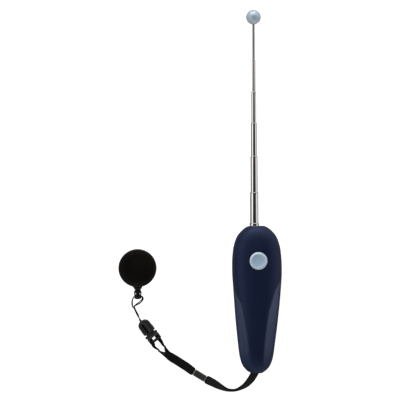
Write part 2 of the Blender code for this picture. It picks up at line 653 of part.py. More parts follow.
# ---------------------------------------------------------- string and hitch
KNOT = (-103.6, -5.3)
string_rows = [
    (*at_buckle(1.6, -0.7, 2.9),), (*at_buckle(-0.8, -0.5, 3.1),),
    (-99.9, -13.6, 4.3), (-102.0, -9.3, 5.8), (-103.1, -5.9, 7.1),
    (-101.4, -4.6, 8.0), (-97.9, -2.6, 9.3), (-95.4, 0.6, 10.2), (-96.3, 3.0, 10.9),
    (-98.2, 3.35, 10.9), (-101.2, 3.35, 10.9), (-103.3, 2.5, 10.9), (-104.4, -0.4, 10.2),
    (-104.5, -3.4, 8.9), (-104.3, -5.6, 7.9), (-103.6, -6.7, 7.1), (-104.5, -5.9, 6.2),
    (-105.0, -3.2, 7.4), (-104.6, -0.2, 8.9), (-103.5, 2.3, 10.0),
    (-101.2, 3.35, 10.0), (-98.2, 3.35, 10.0), (-96.6, 2.5, 9.6), (-96.4, 0.4, 8.9),
    (-99.1, -2.2, 7.8), (-102.1, -4.4, 7.0), (-103.2, -6.3, 5.9), (-102.2, -9.8, 4.9),
    (-100.2, -14.0, 3.5), (*at_buckle(-0.9, -0.5, 2.3),), (*at_buckle(1.6, 0.1, 2.4),),
]
pts = [p[:3] for p in spline([list(r) for r in string_rows], 1.5)]
curve = bpy.data.curves.new("lanyard_string", "CURVE")
curve.dimensions = "3D"
curve.bevel_depth = STRING_D / 2 * MM
curve.bevel_resolution = 2
curve.use_fill_caps = True
curve.render_resolution_u = 0
sp = curve.splines.new("POLY")
sp.points.add(len(pts) - 1)
for q, p in zip(sp.points, pts):
    q.co = (p[0] * MM, p[1] * MM, p[2] * MM, 1)
curve.materials.append(CORD)
ob = bpy.data.objects.new("lanyard_string", curve)
bpy.context.scene.collection.objects.link(ob)

# --------------------------------------------------------- bead on the cord
BEAD_Z = 10.9
bead = lathe("pull_cord_end",
             [(0, 8.1), (2.3, 8.1), (2.9, 7.6), (3.1, 6.4), (3.1, 2.4), (2.7, 1.4),
              (1.7, 0.7), (0, 0.5)],
             (NECK_X, 0, BEAD_Z), (0, 1, 0), SIDE, 20, BLACK)
cut(bead, [prism("cutter", rounded_rect(1.1, 1.35, 0.6, 2), (NECK_X - 5, 3.3, BEAD_Z - 0.45),
                 (1, 0, 0), (0, 1, 0), 10.0, None),
           rod("cutter", 0.7, (NECK_X, 5.4, BEAD_Z), (NECK_X, 9.0, BEAD_Z), 12),
           # two small see-through holes beside the cord
           rod("cutter", 0.42, (NECK_X - 1.85, 5.3, 6.0), (NECK_X - 1.85, 5.3, 16.0), 10),
           rod("cutter", 0.42, (NECK_X + 1.85, 5.3, 6.0), (NECK_X + 1.85, 5.3, 16.0), 10)])
rod("pull_cord", 0.4, (NECK_X, 5.8, BEAD_Z), (NECK_X, 17.6, BEAD_Z), 8, CORD)

# ---------------------------------------------------------------------- reel
rx, ry = REEL


def reel_turned(name, profile, material, n=32):
    return lathe(name, profile, (rx, ry, 0), (0, 0, 1), SIDE, n, material)


z0, z1 = REEL_Z0, REEL_Z1
SPLIT = 14.0
backc = reel_turned("reel_back_cover", [
    (1.8, z0), (14.6, z0), (15.6, z0 + 0.5), (REEL_R, z0 + 1.4), (REEL_R, SPLIT - 0.15),
    (14.7, SPLIT - 0.15), (14.7, z0 + 1.5), (3.0, z0 + 1.5), (1.8, z0 + 1.5)], BLACK)
neck = lathe("neck", [(0, 12.6), (4.4, 12.6), (4.2, 11.2), (3.2, 9.8), (2.5, 8.6), (0, 8.6)],
             (NECK_X, 0, 10.9), (0, 1, 0), SIDE, 20, None)
cut(neck, [rod("cutter", 14.9, (rx, ry, 3), (rx, ry, 18), 32),
           box("cutter", (NECK_X - 8, 5, z0 - 6.0), (NECK_X + 8, 20, z0 + 0.1)),
           box("cutter", (NECK_X - 8, 5, SPLIT - 0.15), (NECK_X + 8, 20, SPLIT + 5))])
cut(backc, [neck], "UNION")
cut(backc, [rod("cutter", 1.0, (NECK_X, 7.0, BEAD_Z), (NECK_X, 14.0, BEAD_Z), 12)])
reel_turned("reel_front_cover", [
    (0, SPLIT + 1.1), (14.7, SPLIT + 1.1), (14.7, SPLIT + 0.15), (REEL_R, SPLIT + 0.15),
    (REEL_R, z1 - 1.1), (15.7, z1 - 0.4), (15.0, z1), (13.4, z1), (13.2, z1 - 0.55),
    (0, z1 - 0.55)], BLACK)
reel_turned("reel_label", [(0, z1 - 0.25), (12.9, z1 - 0.25), (12.9, z1 - 0.05),
                           (12.4, z1 + 0.1), (0, z1 + 0.2)], LABEL)
# spool with the cord wound in its groove, and the return spring in its hub
reel_turned("reel_spool", [
    (1.9, 8.9), (10.9, 8.9), (10.9, 9.5), (7.6, 9.5), (7.6, 13.1), (10.9, 13.1),
    (10.9, 13.7), (6.9, 13.7), (6.9, 9.9), (1.9, 9.9)], WHITE)
reel_turned("reel_wound_cord", [(7.9, 9.8), (8.9, 9.8), (8.9, 12.8), (7.9, 12.8)], CORD, 32)
bm = bmesh.new()
turns, n = 3.5, 50
coil = []
for k in range(n + 1):
    a = 2 * pi * turns * k / n
    r = 2.5 + (6.4 - 2.5) * k / n
    ring = []
    for dr, zz in ((-0.12, 10.4), (0.12, 10.4), (0.12, 13.0), (-0.12, 13.0)):
        ring.append(bm.verts.new(((rx + (r + dr) * cos(a)) * MM, (ry + (r + dr) * sin(a)) * MM,
                                  zz * MM)))
    coil.append(ring)
for a, b in zip(coil, coil[1:]):
    for k in range(4):
        j = (k + 1) % 4
        bm.faces.new((a[k], a[j], b[j], b[k]))
bm.faces.new(coil[0][::-1])
bm.faces.new(coil[-1])
new_object("reel_power_spring", bm, STEEL)
reel_turned("reel_axle", [(0, 8.55), (2.6, 8.55), (2.6, 8.75), (1.6, 8.75), (1.6, 14.8), (0, 14.8)],
            BLACK, 16)

# belt clip: a bent strip, riveted under the back cover
CLIP_W = 9.0
path = [(-4.5, 6.1)]
path += [(11.2, 6.1)]
for k in range(1, 8):
    a = pi / 2 - pi * k / 8
    path.append((11.2 + 2.85 * cos(a), 3.25 + 2.85 * sin(a)))
path += [(11.2, 0.4), (-13.4, 0.4)]
bm = bmesh.new()
rings = []
for i, (y, z) in enumerate(path):
    a, b = path[max(i - 1, 0)], path[min(i + 1, len(path) - 1)]
    ty, tz = b[0] - a[0], b[1] - a[1]
    l = hypot(ty, tz)
    ny, nz = -tz / l, ty / l
    rings.append([bm.verts.new(((rx + sx * CLIP_W / 2) * MM, (ry + y + ny * h) * MM,
                                (z + nz * h) * MM))
                  for sx, h in ((-1, -0.4), (1, -0.4), (1, 0.4), (-1, 0.4))])
for a, b in zip(rings, rings[1:]):
    for k in range(4):
        j = (k + 1) % 4
        bm.faces.new((a[k], a[j], b[j], b[k]))
bm.faces.new(rings[0][::-1])
bm.faces.new(rings[-1])
clip = new_object("belt_clip", bm, STEEL)
cut(clip, [rod("cutter", 1.75, (rx, ry, 5.0), (rx, ry, 7.4), 16)])
reel_turned("clip_rivet", [(0, 5.15), (2.2, 5.15), (2.7, 5.3), (2.7, 5.45), (1.45, 5.45),
                           (1.45, 8.25), (0, 8.25)], STEEL, 16)
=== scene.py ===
"""Looks of the clicker target stick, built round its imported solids.

Frame: the same as the solids', metres, +Z up, the stick along +Y, the handle lying on
its flat back on z = 0. Lengths below are millimetres and are scaled by MM.
"""

import json
from math import sin, cos, tan, pi, sqrt, radians, hypot, acos, floor, atan2

import bmesh
import bpy
import numpy as np
from mathutils import Matrix, Vector

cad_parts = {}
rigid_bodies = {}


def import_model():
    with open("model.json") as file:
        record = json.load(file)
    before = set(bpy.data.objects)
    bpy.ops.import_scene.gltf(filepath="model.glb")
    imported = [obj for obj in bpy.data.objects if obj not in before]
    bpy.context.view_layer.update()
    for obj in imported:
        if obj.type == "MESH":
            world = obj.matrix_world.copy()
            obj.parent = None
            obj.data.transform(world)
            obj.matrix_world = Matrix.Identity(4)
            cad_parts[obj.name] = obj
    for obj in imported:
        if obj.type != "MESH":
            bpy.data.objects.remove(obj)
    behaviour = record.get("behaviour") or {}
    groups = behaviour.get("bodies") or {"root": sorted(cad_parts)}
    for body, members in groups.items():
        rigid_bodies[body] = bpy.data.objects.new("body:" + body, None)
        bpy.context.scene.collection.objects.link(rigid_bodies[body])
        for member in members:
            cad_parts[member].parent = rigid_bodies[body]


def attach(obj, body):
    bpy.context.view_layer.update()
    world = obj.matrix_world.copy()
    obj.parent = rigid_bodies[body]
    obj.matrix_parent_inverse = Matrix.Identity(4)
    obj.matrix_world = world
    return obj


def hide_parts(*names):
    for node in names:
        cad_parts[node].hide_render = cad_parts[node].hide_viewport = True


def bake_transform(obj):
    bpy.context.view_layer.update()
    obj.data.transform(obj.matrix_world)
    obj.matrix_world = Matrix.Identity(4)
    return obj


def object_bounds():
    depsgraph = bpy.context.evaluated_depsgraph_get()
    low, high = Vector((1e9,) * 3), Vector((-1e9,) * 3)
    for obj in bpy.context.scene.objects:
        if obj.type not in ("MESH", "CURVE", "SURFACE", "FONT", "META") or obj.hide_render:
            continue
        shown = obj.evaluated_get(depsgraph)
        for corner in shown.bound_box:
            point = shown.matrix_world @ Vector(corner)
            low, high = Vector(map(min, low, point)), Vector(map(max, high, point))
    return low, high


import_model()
cad_lo, cad_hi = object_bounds()
cad_lo, cad_hi = list(cad_lo), list(cad_hi)
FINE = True
MM = 0.001

# ---------------------------------------------------------------- dimensions
HANDLE_HALF = 62.0
PART_Z = 12.0
WALL = 2.0
STICK_X, STICK_Z = -1.4, 10.5
FOOT_CLOSED = -31.0
FIXED_TOP = 64.3
TUBE_R = [4.0, 3.5, 3.0, 2.55, 2.1, 1.6]
TUBE_WALL = 0.25
ROD_R = 1.1
TOPS = [64.3, 90.3, 120.8, 148.7, 175.1, 202.3]
BALL_BOTTOM = 231.7
BALL_R = 6.25
BUTTON = (1.65, 32.7)
BUTTON_R = 7.5
BUTTON_TOP = 26.7
REEL = (-100.0, 26.9)
REEL_R = 16.0
REEL_Z0, REEL_Z1 = 6.8, 16.8
NECK_X = -99.9
BUCKLE = (-97.38, -18.11)
BUCKLE_DIR = (0.6, -0.8)
WEB_W, WEB_T = 6.2, 1.1
STRING_D = 0.7
PIN_Y = -54.6
LEAF_X, LEAF_Y = 1.1, 9.0
SCREWS = [(-12.4, 39.6), (12.4, 39.6), (0.0, -46.6)]
SIDE = (1, 0, 0)

# ---------------------------------------------------------- camera and light
VIEW_X, VIEW_Y = -47.1, 84.0      # the middle of the picture
VIEW_MM = 336.8                   # what the picture is wide, at the height below
VIEW_Z = 13.0
CAM_UP = 2000.0

cam_data = bpy.data.cameras.new("camera")
cam_data.sensor_width = 36.0
cam_data.lens = 36.0 * (CAM_UP - VIEW_Z) / VIEW_MM
cam_data.clip_start, cam_data.clip_end = 0.05, 20.0
cam = bpy.data.objects.new("camera", cam_data)
cam.location = (VIEW_X * MM, VIEW_Y * MM, CAM_UP * MM)
cam.rotation_euler = (0.0, 0.0, radians(-0.25))
bpy.context.scene.collection.objects.link(cam)
bpy.context.scene.camera = cam

scene = bpy.context.scene
scene.view_settings.view_transform = "Standard"
scene.view_settings.look = "None"
scene.view_settings.exposure = 0.0
scene.view_settings.gamma = 1.0


def add(nt, kind, values=None, **props):
    """A shader node with its properties and its sockets' values or links."""
    n = nt.nodes.new(kind)
    for k, v in props.items():
        setattr(n, k, v)
    for k, v in (values or {}).items():
        if isinstance(v, bpy.types.NodeSocket):
            nt.links.new(v, n.inputs[k])
        else:
            n.inputs[k].default_value = v
    return n


def light_tent():
    """Soft walls all round a dark opening straight above. The left wall is a bright
    band over a darker foot, the right wall a dimmer sheet that goes down past the floor,
    and the far wall is the brightest."""
    w = bpy.data.worlds.new("tent")
    scene.world = w
    w.use_nodes = True
    nt = w.node_tree
    nt.nodes.clear()
    co = add(nt, "ShaderNodeTexCoord")
    xyz = add(nt, "ShaderNodeSeparateXYZ", {0: co.outputs["Generated"]})
    up = add(nt, "ShaderNodeMath", {0: xyz.outputs[2], 1: 0.5, 2: 0.5},
             operation="MULTIPLY_ADD")

    def wall(stops, along=None):
        r = add(nt, "ShaderNodeValToRGB", {0: along or up.outputs[0]})
        els = r.color_ramp.elements
        while len(els) < len(stops):
            els.new(0.5)
        for e, (z, v) in zip(els, stops):
            e.position = z * 0.5 + 0.5
            e.color = (v, v, v, 1)
        return r

    left = wall(LEFT_WALL)
    right = wall(RIGHT_WALL)
    side = add(nt, "ShaderNodeMapRange", {"Value": xyz.outputs[0], "From Min": -0.3,
                                          "From Max": 0.3}, interpolation_type="SMOOTHSTEP")
    both = add(nt, "ShaderNodeMix", {0: side.outputs[0], 6: left.outputs[0],
                                     7: right.outputs[0]}, data_type="RGBA")
    far = add(nt, "ShaderNodeMapRange", {"Value": xyz.outputs[1], "From Min": -1.0,
                                         "From Max": 1.0})
    gain = wall(DEPTH_GAIN, far.outputs[0])
    lit = add(nt, "ShaderNodeMath", {0: gain.outputs[0], 1: 4.0}, operation="MULTIPLY")
    level = add(nt, "ShaderNodeMath", {0: both.outputs[2], 1: lit.outputs[0]},
                operation="MULTIPLY")
    bg = add(nt, "ShaderNodeBackground", {"Color": (1.0, 0.985, 0.965, 1),
                                          "Strength": level.outputs[0]})
    add(nt, "ShaderNodeOutputWorld", {"Surface": bg.outputs[0]})


# sine of the elevation, radiance
LEFT_WALL = [(-1.0, 0.20), (0.16, 0.20), (0.28, 1.2), (0.70, 1.2), (0.80, 0.04), (1.0, 0.03)]
RIGHT_WALL = [(-1.0, 0.20), (-0.42, 0.25), (-0.22, 0.72), (0.56, 0.86), (0.68, 0.04), (1.0, 0.03)]
# from the near wall to the far one, as a quarter of the gain
DEPTH_GAIN = [(-1.0, 0.34), (-0.5, 0.26), (0.0, 0.25), (0.5, 0.30), (0.8, 0.50), (1.0, 0.56)]
light_tent()


def area(name, loc, target, size, power, colour=(1, 1, 1)):
    d = bpy.data.lights.new(name, "AREA")
    d.shape = "RECTANGLE"
    d.size, d.size_y = size
    d.energy = power
    d.color = colour
    o = bpy.data.objects.new(name, d)
    o.location = loc
    o.rotation_euler = (Vector(target) - Vector(loc)).to_track_quat("-Z", "Y").to_euler()
    o.visible_camera = False
    scene.collection.objects.link(o)
    return o




area("far_softbox", (-0.10, 1.35, 0.42), (-0.02, 0.20, 0.0), (1.1, 0.22), 6.5)


def floor_plane():
    bm = bmesh.new()
    z = cad_lo[2] - 0.0001
    corners = [(-4, -4), (4, -4), (4, 4), (-4, 4)]
    bm.faces.new([bm.verts.new((x, y, z)) for x, y in corners])
    me = bpy.data.meshes.new("floor")
    bm.to_mesh(me)
    bm.free()
    ob = bpy.data.objects.new("floor", me)
    scene.collection.objects.link(ob)
    m = bpy.data.materials.new("floor_white")
    m.use_nodes = True
    nt = m.node_tree
    nt.nodes.clear()
    path = add(nt, "ShaderNodeLightPath")
    level = add(nt, "ShaderNodeMapRange", {"Value": path.outputs["Is Camera Ray"],
                                           "To Min": 0.55, "To Max": 0.92})
    glow = add(nt, "ShaderNodeEmission", {"Color": (1, 1, 1, 1), "Strength": level.outputs[0]})
    matt = add(nt, "ShaderNodeBsdfDiffuse", {"Color": (0.5, 0.5, 0.5, 1)})
    both = add(nt, "ShaderNodeAddShader", {0: glow.outputs[0], 1: matt.outputs[0]})
    geo = add(nt, "ShaderNodeNewGeometry")
    clear = add(nt, "ShaderNodeBsdfTransparent")
    mix = add(nt, "ShaderNodeMixShader", {0: geo.outputs["Backfacing"], 1: both.outputs[0],
                                          2: clear.outputs[0]})
    add(nt, "ShaderNodeOutputMaterial", {"Surface": mix.outputs[0]})
    me.materials.append(m)
    ob.visible_glossy = False


floor_plane()


# ----------------------------------------------------------------- materials
def plastic(name, colour, rough, grain=0.04, grain_mm=0.35, level=0.5, tone=0.12, coat=0.0,
            coat_rough=0.15, highlight_zone=None, gleam=None, coat_ior=1.5):
    """Moulded plastic: fine moulded grain, faint cloudy tone and gloss changes.
    A zone names a point attribute and a paler colour painted in where it is set: a painted
    highlight."""
    m = bpy.data.materials.new(name)
    m.use_nodes = True
    nt = m.node_tree
    b = nt.nodes["Principled BSDF"]
    b.inputs["Specular IOR Level"].default_value = level
    if gleam:
        b.inputs["Specular Tint"].default_value = (*gleam, 1)
    if coat:
        b.inputs["Coat Weight"].default_value = coat
        b.inputs["Coat Roughness"].default_value = coat_rough
        b.inputs["Coat IOR"].default_value = coat_ior
    co = add(nt, "ShaderNodeTexCoord")
    cloud = add(nt, "ShaderNodeTexNoise", {"Vector": co.outputs["Object"], "Scale": 70.0,
                                           "Detail": 3.0, "Roughness": 0.55})
    dark = tuple(c * (1 - tone) for c in colour) + (1,)
    lite = tuple(c * (1 + tone) for c in colour) + (1,)
    mix = add(nt, "ShaderNodeMix", {0: cloud.outputs[0], 6: dark, 7: lite}, data_type="RGBA")
    if highlight_zone:
        att = add(nt, "ShaderNodeAttribute", attribute_name=highlight_zone[0])
        mix = add(nt, "ShaderNodeMix", {0: att.outputs["Fac"], 6: mix.outputs[2],
                                        7: (*highlight_zone[1], 1)}, data_type="RGBA")
    nt.links.new(mix.outputs[2], b.inputs["Base Color"])
    fine = add(nt, "ShaderNodeTexNoise", {"Vector": co.outputs["Object"],
                                          "Scale": 1000.0 / grain_mm, "Detail": 2.0})
    gloss = add(nt, "ShaderNodeMapRange", {"Value": cloud.outputs[0], "From Min": 0.3,
                                           "From Max": 0.7, "To Min": rough * 0.88,
                                           "To Max": rough * 1.14})
    nt.links.new(gloss.outputs[0], b.inputs["Roughness"])
    bump = add(nt, "ShaderNodeBump", {"Strength": grain, "Distance": 0.00012,
                                      "Height": fine.outputs[0]})
    nt.links.new(bump.outputs[0], b.inputs["Normal"])
    return m


def metal(name, colour, rough, streak=(1.0, 1.0, 1.0), streak_scale=900.0, tone=0.1, depth=0.03,
          tint=None):
    """Metal with fine drawing or rolling lines along the long axis of the streaks."""
    m = bpy.data.materials.new(name)
    m.use_nodes = True
    nt = m.node_tree
    b = nt.nodes["Principled BSDF"]
    b.inputs["Metallic"].default_value = 1.0
    if tint:
        b.inputs["Specular Tint"].default_value = (*tint, 1)
    co = add(nt, "ShaderNodeTexCoord")
    mp = add(nt, "ShaderNodeMapping", {"Vector": co.outputs["Object"], "Scale": streak})
    n = add(nt, "ShaderNodeTexNoise", {"Vector": mp.outputs[0], "Scale": streak_scale,
                                       "Detail": 3.0, "Roughness": 0.6})
    dark = tuple(c * (1 - tone) for c in colour) + (1,)
    lite = tuple(min(1, c * (1 + tone)) for c in colour) + (1,)
    mix = add(nt, "ShaderNodeMix", {0: n.outputs[0], 6: dark, 7: lite}, data_type="RGBA")
    nt.links.new(mix.outputs[2], b.inputs["Base Color"])
    gloss = add(nt, "ShaderNodeMapRange", {"Value": n.outputs[0], "From Min": 0.3,
                                           "From Max": 0.7, "To Min": rough * 0.8,
                                           "To Max": rough * 1.25})
    nt.links.new(gloss.outputs[0], b.inputs["Roughness"])
    bump = add(nt, "ShaderNodeBump", {"Strength": depth, "Distance": 0.00005,
                                      "Height": n.outputs[0]})
    nt.links.new(bump.outputs[0], b.inputs["Normal"])
    return m


def woven(name, low, high, sheen=0.25, rough=0.8):
    """Yarn: painted shade in the grooves of the weave and lighter raised yarn, with fine fibres
    across it.
    """
    m = bpy.data.materials.new(name)
    m.use_nodes = True
    nt = m.node_tree
    b = nt.nodes["Principled BSDF"]
    b.inputs["Roughness"].default_value = rough
    b.inputs["Sheen Weight"].default_value = sheen
    b.inputs["Sheen Roughness"].default_value = 0.5
    b.inputs["Specular IOR Level"].default_value = 0.2
    att = add(nt, "ShaderNodeAttribute", attribute_name="lift")
    co = add(nt, "ShaderNodeTexCoord")
    fib = add(nt, "ShaderNodeTexNoise", {"Vector": co.outputs["Object"], "Scale": 5200.0,
                                         "Detail": 3.0, "Roughness": 0.7})
    big = add(nt, "ShaderNodeTexNoise", {"Vector": co.outputs["Object"], "Scale": 260.0,
                                         "Detail": 2.0})
    a = add(nt, "ShaderNodeMath", {0: fib.outputs[0], 1: 0.7, 2: -0.35}, operation="MULTIPLY_ADD")
    c = add(nt, "ShaderNodeMath", {0: big.outputs[0], 1: 0.5, 2: a.outputs[0]},
            operation="MULTIPLY_ADD")
    # painted shade: darker where the yarn lies low, lighter on the raised yarn
    d = add(nt, "ShaderNodeMath", {0: att.outputs["Fac"], 1: 0.75, 2: c.outputs[0]},
            operation="MULTIPLY_ADD", use_clamp=True)
    mix = add(nt, "ShaderNodeMix", {0: d.outputs[0], 6: (*low, 1), 7: (*high, 1)},
              data_type="RGBA")
    nt.links.new(mix.outputs[2], b.inputs["Base Color"])
    bump = add(nt, "ShaderNodeBump", {"Strength": 0.35, "Distance": 0.00008,
                                      "Height": fib.outputs[0]})
    nt.links.new(bump.outputs[0], b.inputs["Normal"])
    return m


# the zone colour is a painted highlight on the grip's flanks, paler and bluer than the domed face
NAVY = plastic("navy_moulded", (0.0082, 0.0128, 0.0370), 0.40, 0.10, 0.30, 0.27, 0.08,
               highlight_zone=("facet", (0.0500, 0.0612, 0.1160)), gleam=(0.40, 0.54, 1.0))
# the rim zone colour is a painted highlight on the button's rounded rim
BLUE = plastic("light_blue_moulded", (0.385, 0.535, 0.70), 0.20, 0.03, 0.3, 1.0, 0.02, 1.0, 0.2,
               highlight_zone=("rim", (0.52, 0.635, 0.775)))
RUBBER = plastic("light_blue_ball", (0.295, 0.405, 0.49), 0.50, 0.03, 0.4, 1.0, 0.03, 1.0, 0.42,
                 coat_ior=2.0)
CHROME = metal("chrome_tube", (0.80, 0.79, 0.77), 0.10, (1.0, 0.03, 1.0), 3000.0, 0.05, 0.015,
               (0.62, 0.62, 0.62))
TIP_STEEL = metal("tip_steel", (0.50, 0.49, 0.475), 0.16, (1.0, 0.03, 1.0), 3000.0, 0.06, 0.02,
                  (0.6, 0.6, 0.6))
BRASS = metal("brass_bush", (0.72, 0.52, 0.22), 0.28, (1, 8, 1), 900.0, 0.12)
STEEL = metal("rolled_steel", (0.56, 0.57, 0.59), 0.27, (1.0, 0.05, 1.0), 2500.0, 0.12)
SCREW = metal("zinc_screw", (0.42, 0.42, 0.43), 0.3, (1, 1, 1), 1800.0, 0.15)
# rougher metal on the rolled mouths; its darker colour is painted shade at the lips
MOUTH_SHADED = metal("rolled_mouth_shaded", (0.36, 0.355, 0.345), 0.30, (1, 1, 1), 2600.0, 0.1, 0.03,
              (0.5, 0.5, 0.5))
CRIMP = metal("black_nickel", (0.105, 0.102, 0.097), 0.48, (1, 1, 1), 1400.0, 0.25, 0.10)
CRIMP_RIM = metal("bare_rim", (0.62, 0.61, 0.60), 0.28, (1, 1, 1), 1400.0, 0.1, 0.02)
BLACK = plastic("black_moulded", (0.0045, 0.0040, 0.0034), 0.40, 0.12, 0.28, 0.22, 0.2)
BUCKLE_BLACK = plastic("buckle_black", (0.0230, 0.0228, 0.0224), 0.42, 0.20, 0.22, 0.5, 0.25)
LABEL = plastic("label_black", (0.0044, 0.0034, 0.0024), 0.38, 0.06, 0.5, 0.16, 0.25)
WHITE = plastic("white_moulded", (0.70, 0.70, 0.67), 0.42, 0.08, 0.3, 0.5, 0.04)
WEB = woven("black_webbing", (0.0004, 0.0004, 0.0005), (0.0046, 0.0046, 0.0049), 0.0, 0.9)
# a lighter copy of the black webbing: painted light for the turned stretch between the crimp and
# the hand
WEB_LIT = woven("lit_webbing", (0.0014, 0.0014, 0.0015), (0.0175, 0.0175, 0.0183), 0.0, 0.9)
CORD = woven("black_cord", (0.0016, 0.0016, 0.0017), (0.0095, 0.0092, 0.009), 0.02, 0.8)


# ------------------------------------------------------------- mesh helpers
def add_object(name, bm, material, sharp=38.0, check=True):
    if check:
        bmesh.ops.recalc_face_normals(bm, faces=bm.faces)
        if bm.calc_volume(signed=True) < 0:
            bmesh.ops.reverse_faces(bm, faces=bm.faces)
    me = bpy.data.meshes.new(name)
    bm.to_mesh(me)
    bm.free()
    ob = bpy.data.objects.new(name, me)
    scene.collection.objects.link(ob)
    if material:
        me.materials.append(material)
    soften(ob, sharp)
    return ob


def soften(ob, sharp=38.0):
    ob.data.shade_smooth()
    ob.data.set_sharp_from_angle(angle=radians(sharp))


def apply_all(ob, sharp=38.0):
    """Bakes the object's modifiers into its mesh."""
    dg = bpy.context.evaluated_depsgraph_get()
    me = bpy.data.meshes.new_from_object(ob.evaluated_get(dg))
    ob.modifiers.clear()
    old = ob.data
    ob.data = me
    bpy.data.meshes.remove(old)
    soften(ob, sharp)
    return ob


def cut(ob, tools, operation="DIFFERENCE", sharp=38.0):
    """One Boolean with all the tools at once. The tools are thrown away."""
    col = bpy.data.collections.new("tools")
    scene.collection.children.link(col)
    for t in tools:
        for c in list(t.users_collection):
            c.objects.unlink(t)
        col.objects.link(t)
    m = ob.modifiers.new("b", "BOOLEAN")
    m.operation = operation
    m.solver = "EXACT"
    m.operand_type = "COLLECTION"
    m.collection = col
    apply_all(ob, sharp)
    for t in list(col.objects):
        bpy.data.objects.remove(t, do_unlink=True)
    bpy.data.collections.remove(col)
    return ob


def bevel(ob, width, segments=2, angle=35.0, sharp=38.0):
    m = ob.modifiers.new("r", "BEVEL")
    m.width = width * MM
    m.segments = segments
    m.limit_method = "ANGLE"
    m.angle_limit = radians(angle)
    m.use_clamp_overlap = True
    m.harden_normals = False
    return apply_all(ob, sharp)


def basis(origin, axis, side):
    z = Vector(axis).normalized()
    x = (Vector(side) - z * Vector(side).dot(z)).normalized()
    y = z.cross(x)
    m = Matrix((x, y, z)).transposed().to_4x4()
    m.translation = Vector(origin) * MM
    return m


def fillet(points, radius, steps=4, closed=True, where=None):
    """Rounds the corners of a line of (a, b) points. where picks the corners."""
    out = []
    n = len(points)
    for i, p in enumerate(points):
        r = radius(i) if callable(radius) else radius
        p = np.array(p, float)
        ends = not closed and i in (0, n - 1)
        if ends or r <= 0 or (where is not None and i not in where):
            out.append(tuple(p))
            continue
        a, b = np.array(points[i - 1], float) - p, np.array(points[(i + 1) % n], float) - p
        la, lb = np.linalg.norm(a), np.linalg.norm(b)
        ang = acos(max(-1.0, min(1.0, float(a @ b) / (la * lb))))
        if ang > radians(172) or ang < radians(3):
            out.append(tuple(p))
            continue
        d = min(r / tan(ang / 2), 0.46 * la, 0.46 * lb)
        s, e = p + a / la * d, p + b / lb * d
        for k in range(steps + 1):
            q = k / steps
            out.append(tuple((1 - q) ** 2 * s + 2 * q * (1 - q) * p + q * q * e))
    return out


def lathe(name, profile, origin, axis, side, n, material, radius=0.0, steps=3, sharp=38.0,
          wave=None):
    """Turns a closed profile of (radius, height) points about an axis."""
    if radius:
        inner = {i for i, (r, h) in enumerate(profile) if r > 1e-6}
        profile = fillet(profile, radius, steps, True, inner)
    m = basis(origin, axis, side)
    bm = bmesh.new()
    rings = []
    for r, h in profile:
        if r < 1e-6:
            rings.append([bm.verts.new(m @ Vector((0, 0, h * MM)))])
        else:
            ring = []
            for k in range(n):
                a = 2 * pi * (k + 0.5) / n
                rr = r + (wave(a, r, h) if wave else 0.0)
                ring.append(bm.verts.new(m @ Vector((rr * MM * cos(a), rr * MM * sin(a), h * MM))))
            rings.append(ring)
    count = len(rings)
    whole = all(len(r) > 1 for r in rings)
    for i in range(count if whole else count - 1):
        a, b = rings[i], rings[(i + 1) % count]
        for k in range(n):
            j = (k + 1) % n
            if len(a) == 1 and len(b) == 1:
                continue
            if len(a) == 1:
                bm.faces.new((a[0], b[j], b[k]))
            elif len(b) == 1:
                bm.faces.new((a[k], a[j], b[0]))
            else:
                bm.faces.new((a[k], a[j], b[j], b[k]))
    return add_object(name, bm, material, sharp)


def loft(name, rings, material, sharp=38.0, caps=True, ring_closed=True, world=True):
    """Skins a list of closed rings of points (mm)."""
    bm = bmesh.new()
    vs = [[bm.verts.new(Vector(p) * MM) for p in ring] for ring in rings]
    for a, b in zip(vs, vs[1:]):
        n = len(a)
        for k in range(n):
            j = (k + 1) % n
            bm.faces.new((a[k], a[j], b[j], b[k]))
    if caps:
        bm.faces.new(vs[0][::-1])
        bm.faces.new(vs[-1])
    else:
        a, b = vs[-1], vs[0]
        n = len(a)
        for k in range(n):
            j = (k + 1) % n
            bm.faces.new((a[k], a[j], b[j], b[k]))
    return add_object(name, bm, material, sharp)


def inset(outline, d):
    """Moves a closed counter-clockwise outline inwards by d."""
    if d == 0:
        return list(outline)
    out = []
    n = len(outline)
    for i in range(n):
        p0, p1, p2 = (np.array(outline[(i + k) % n], float) for k in (-1, 0, 1))
        a, b = p1 - p0, p2 - p1
        la, lb = np.linalg.norm(a), np.linalg.norm(b)
        na = np.array((-a[1], a[0])) / max(la, 1e-9)
        nb = np.array((-b[1], b[0])) / max(lb, 1e-9)
        s = na + nb
        l = np.linalg.norm(s)
        if l < 1e-6:
            out.append(tuple(p1))
            continue
        s = s / l
        out.append(tuple(p1 + s * d / max(0.6, float(s @ na))))
    return out


def ccw(outline):
    area2 = sum(a[0] * b[1] - b[0] * a[1] for a, b in zip(outline, outline[1:] + outline[:1]))
    return outline if area2 > 0 else outline[::-1]


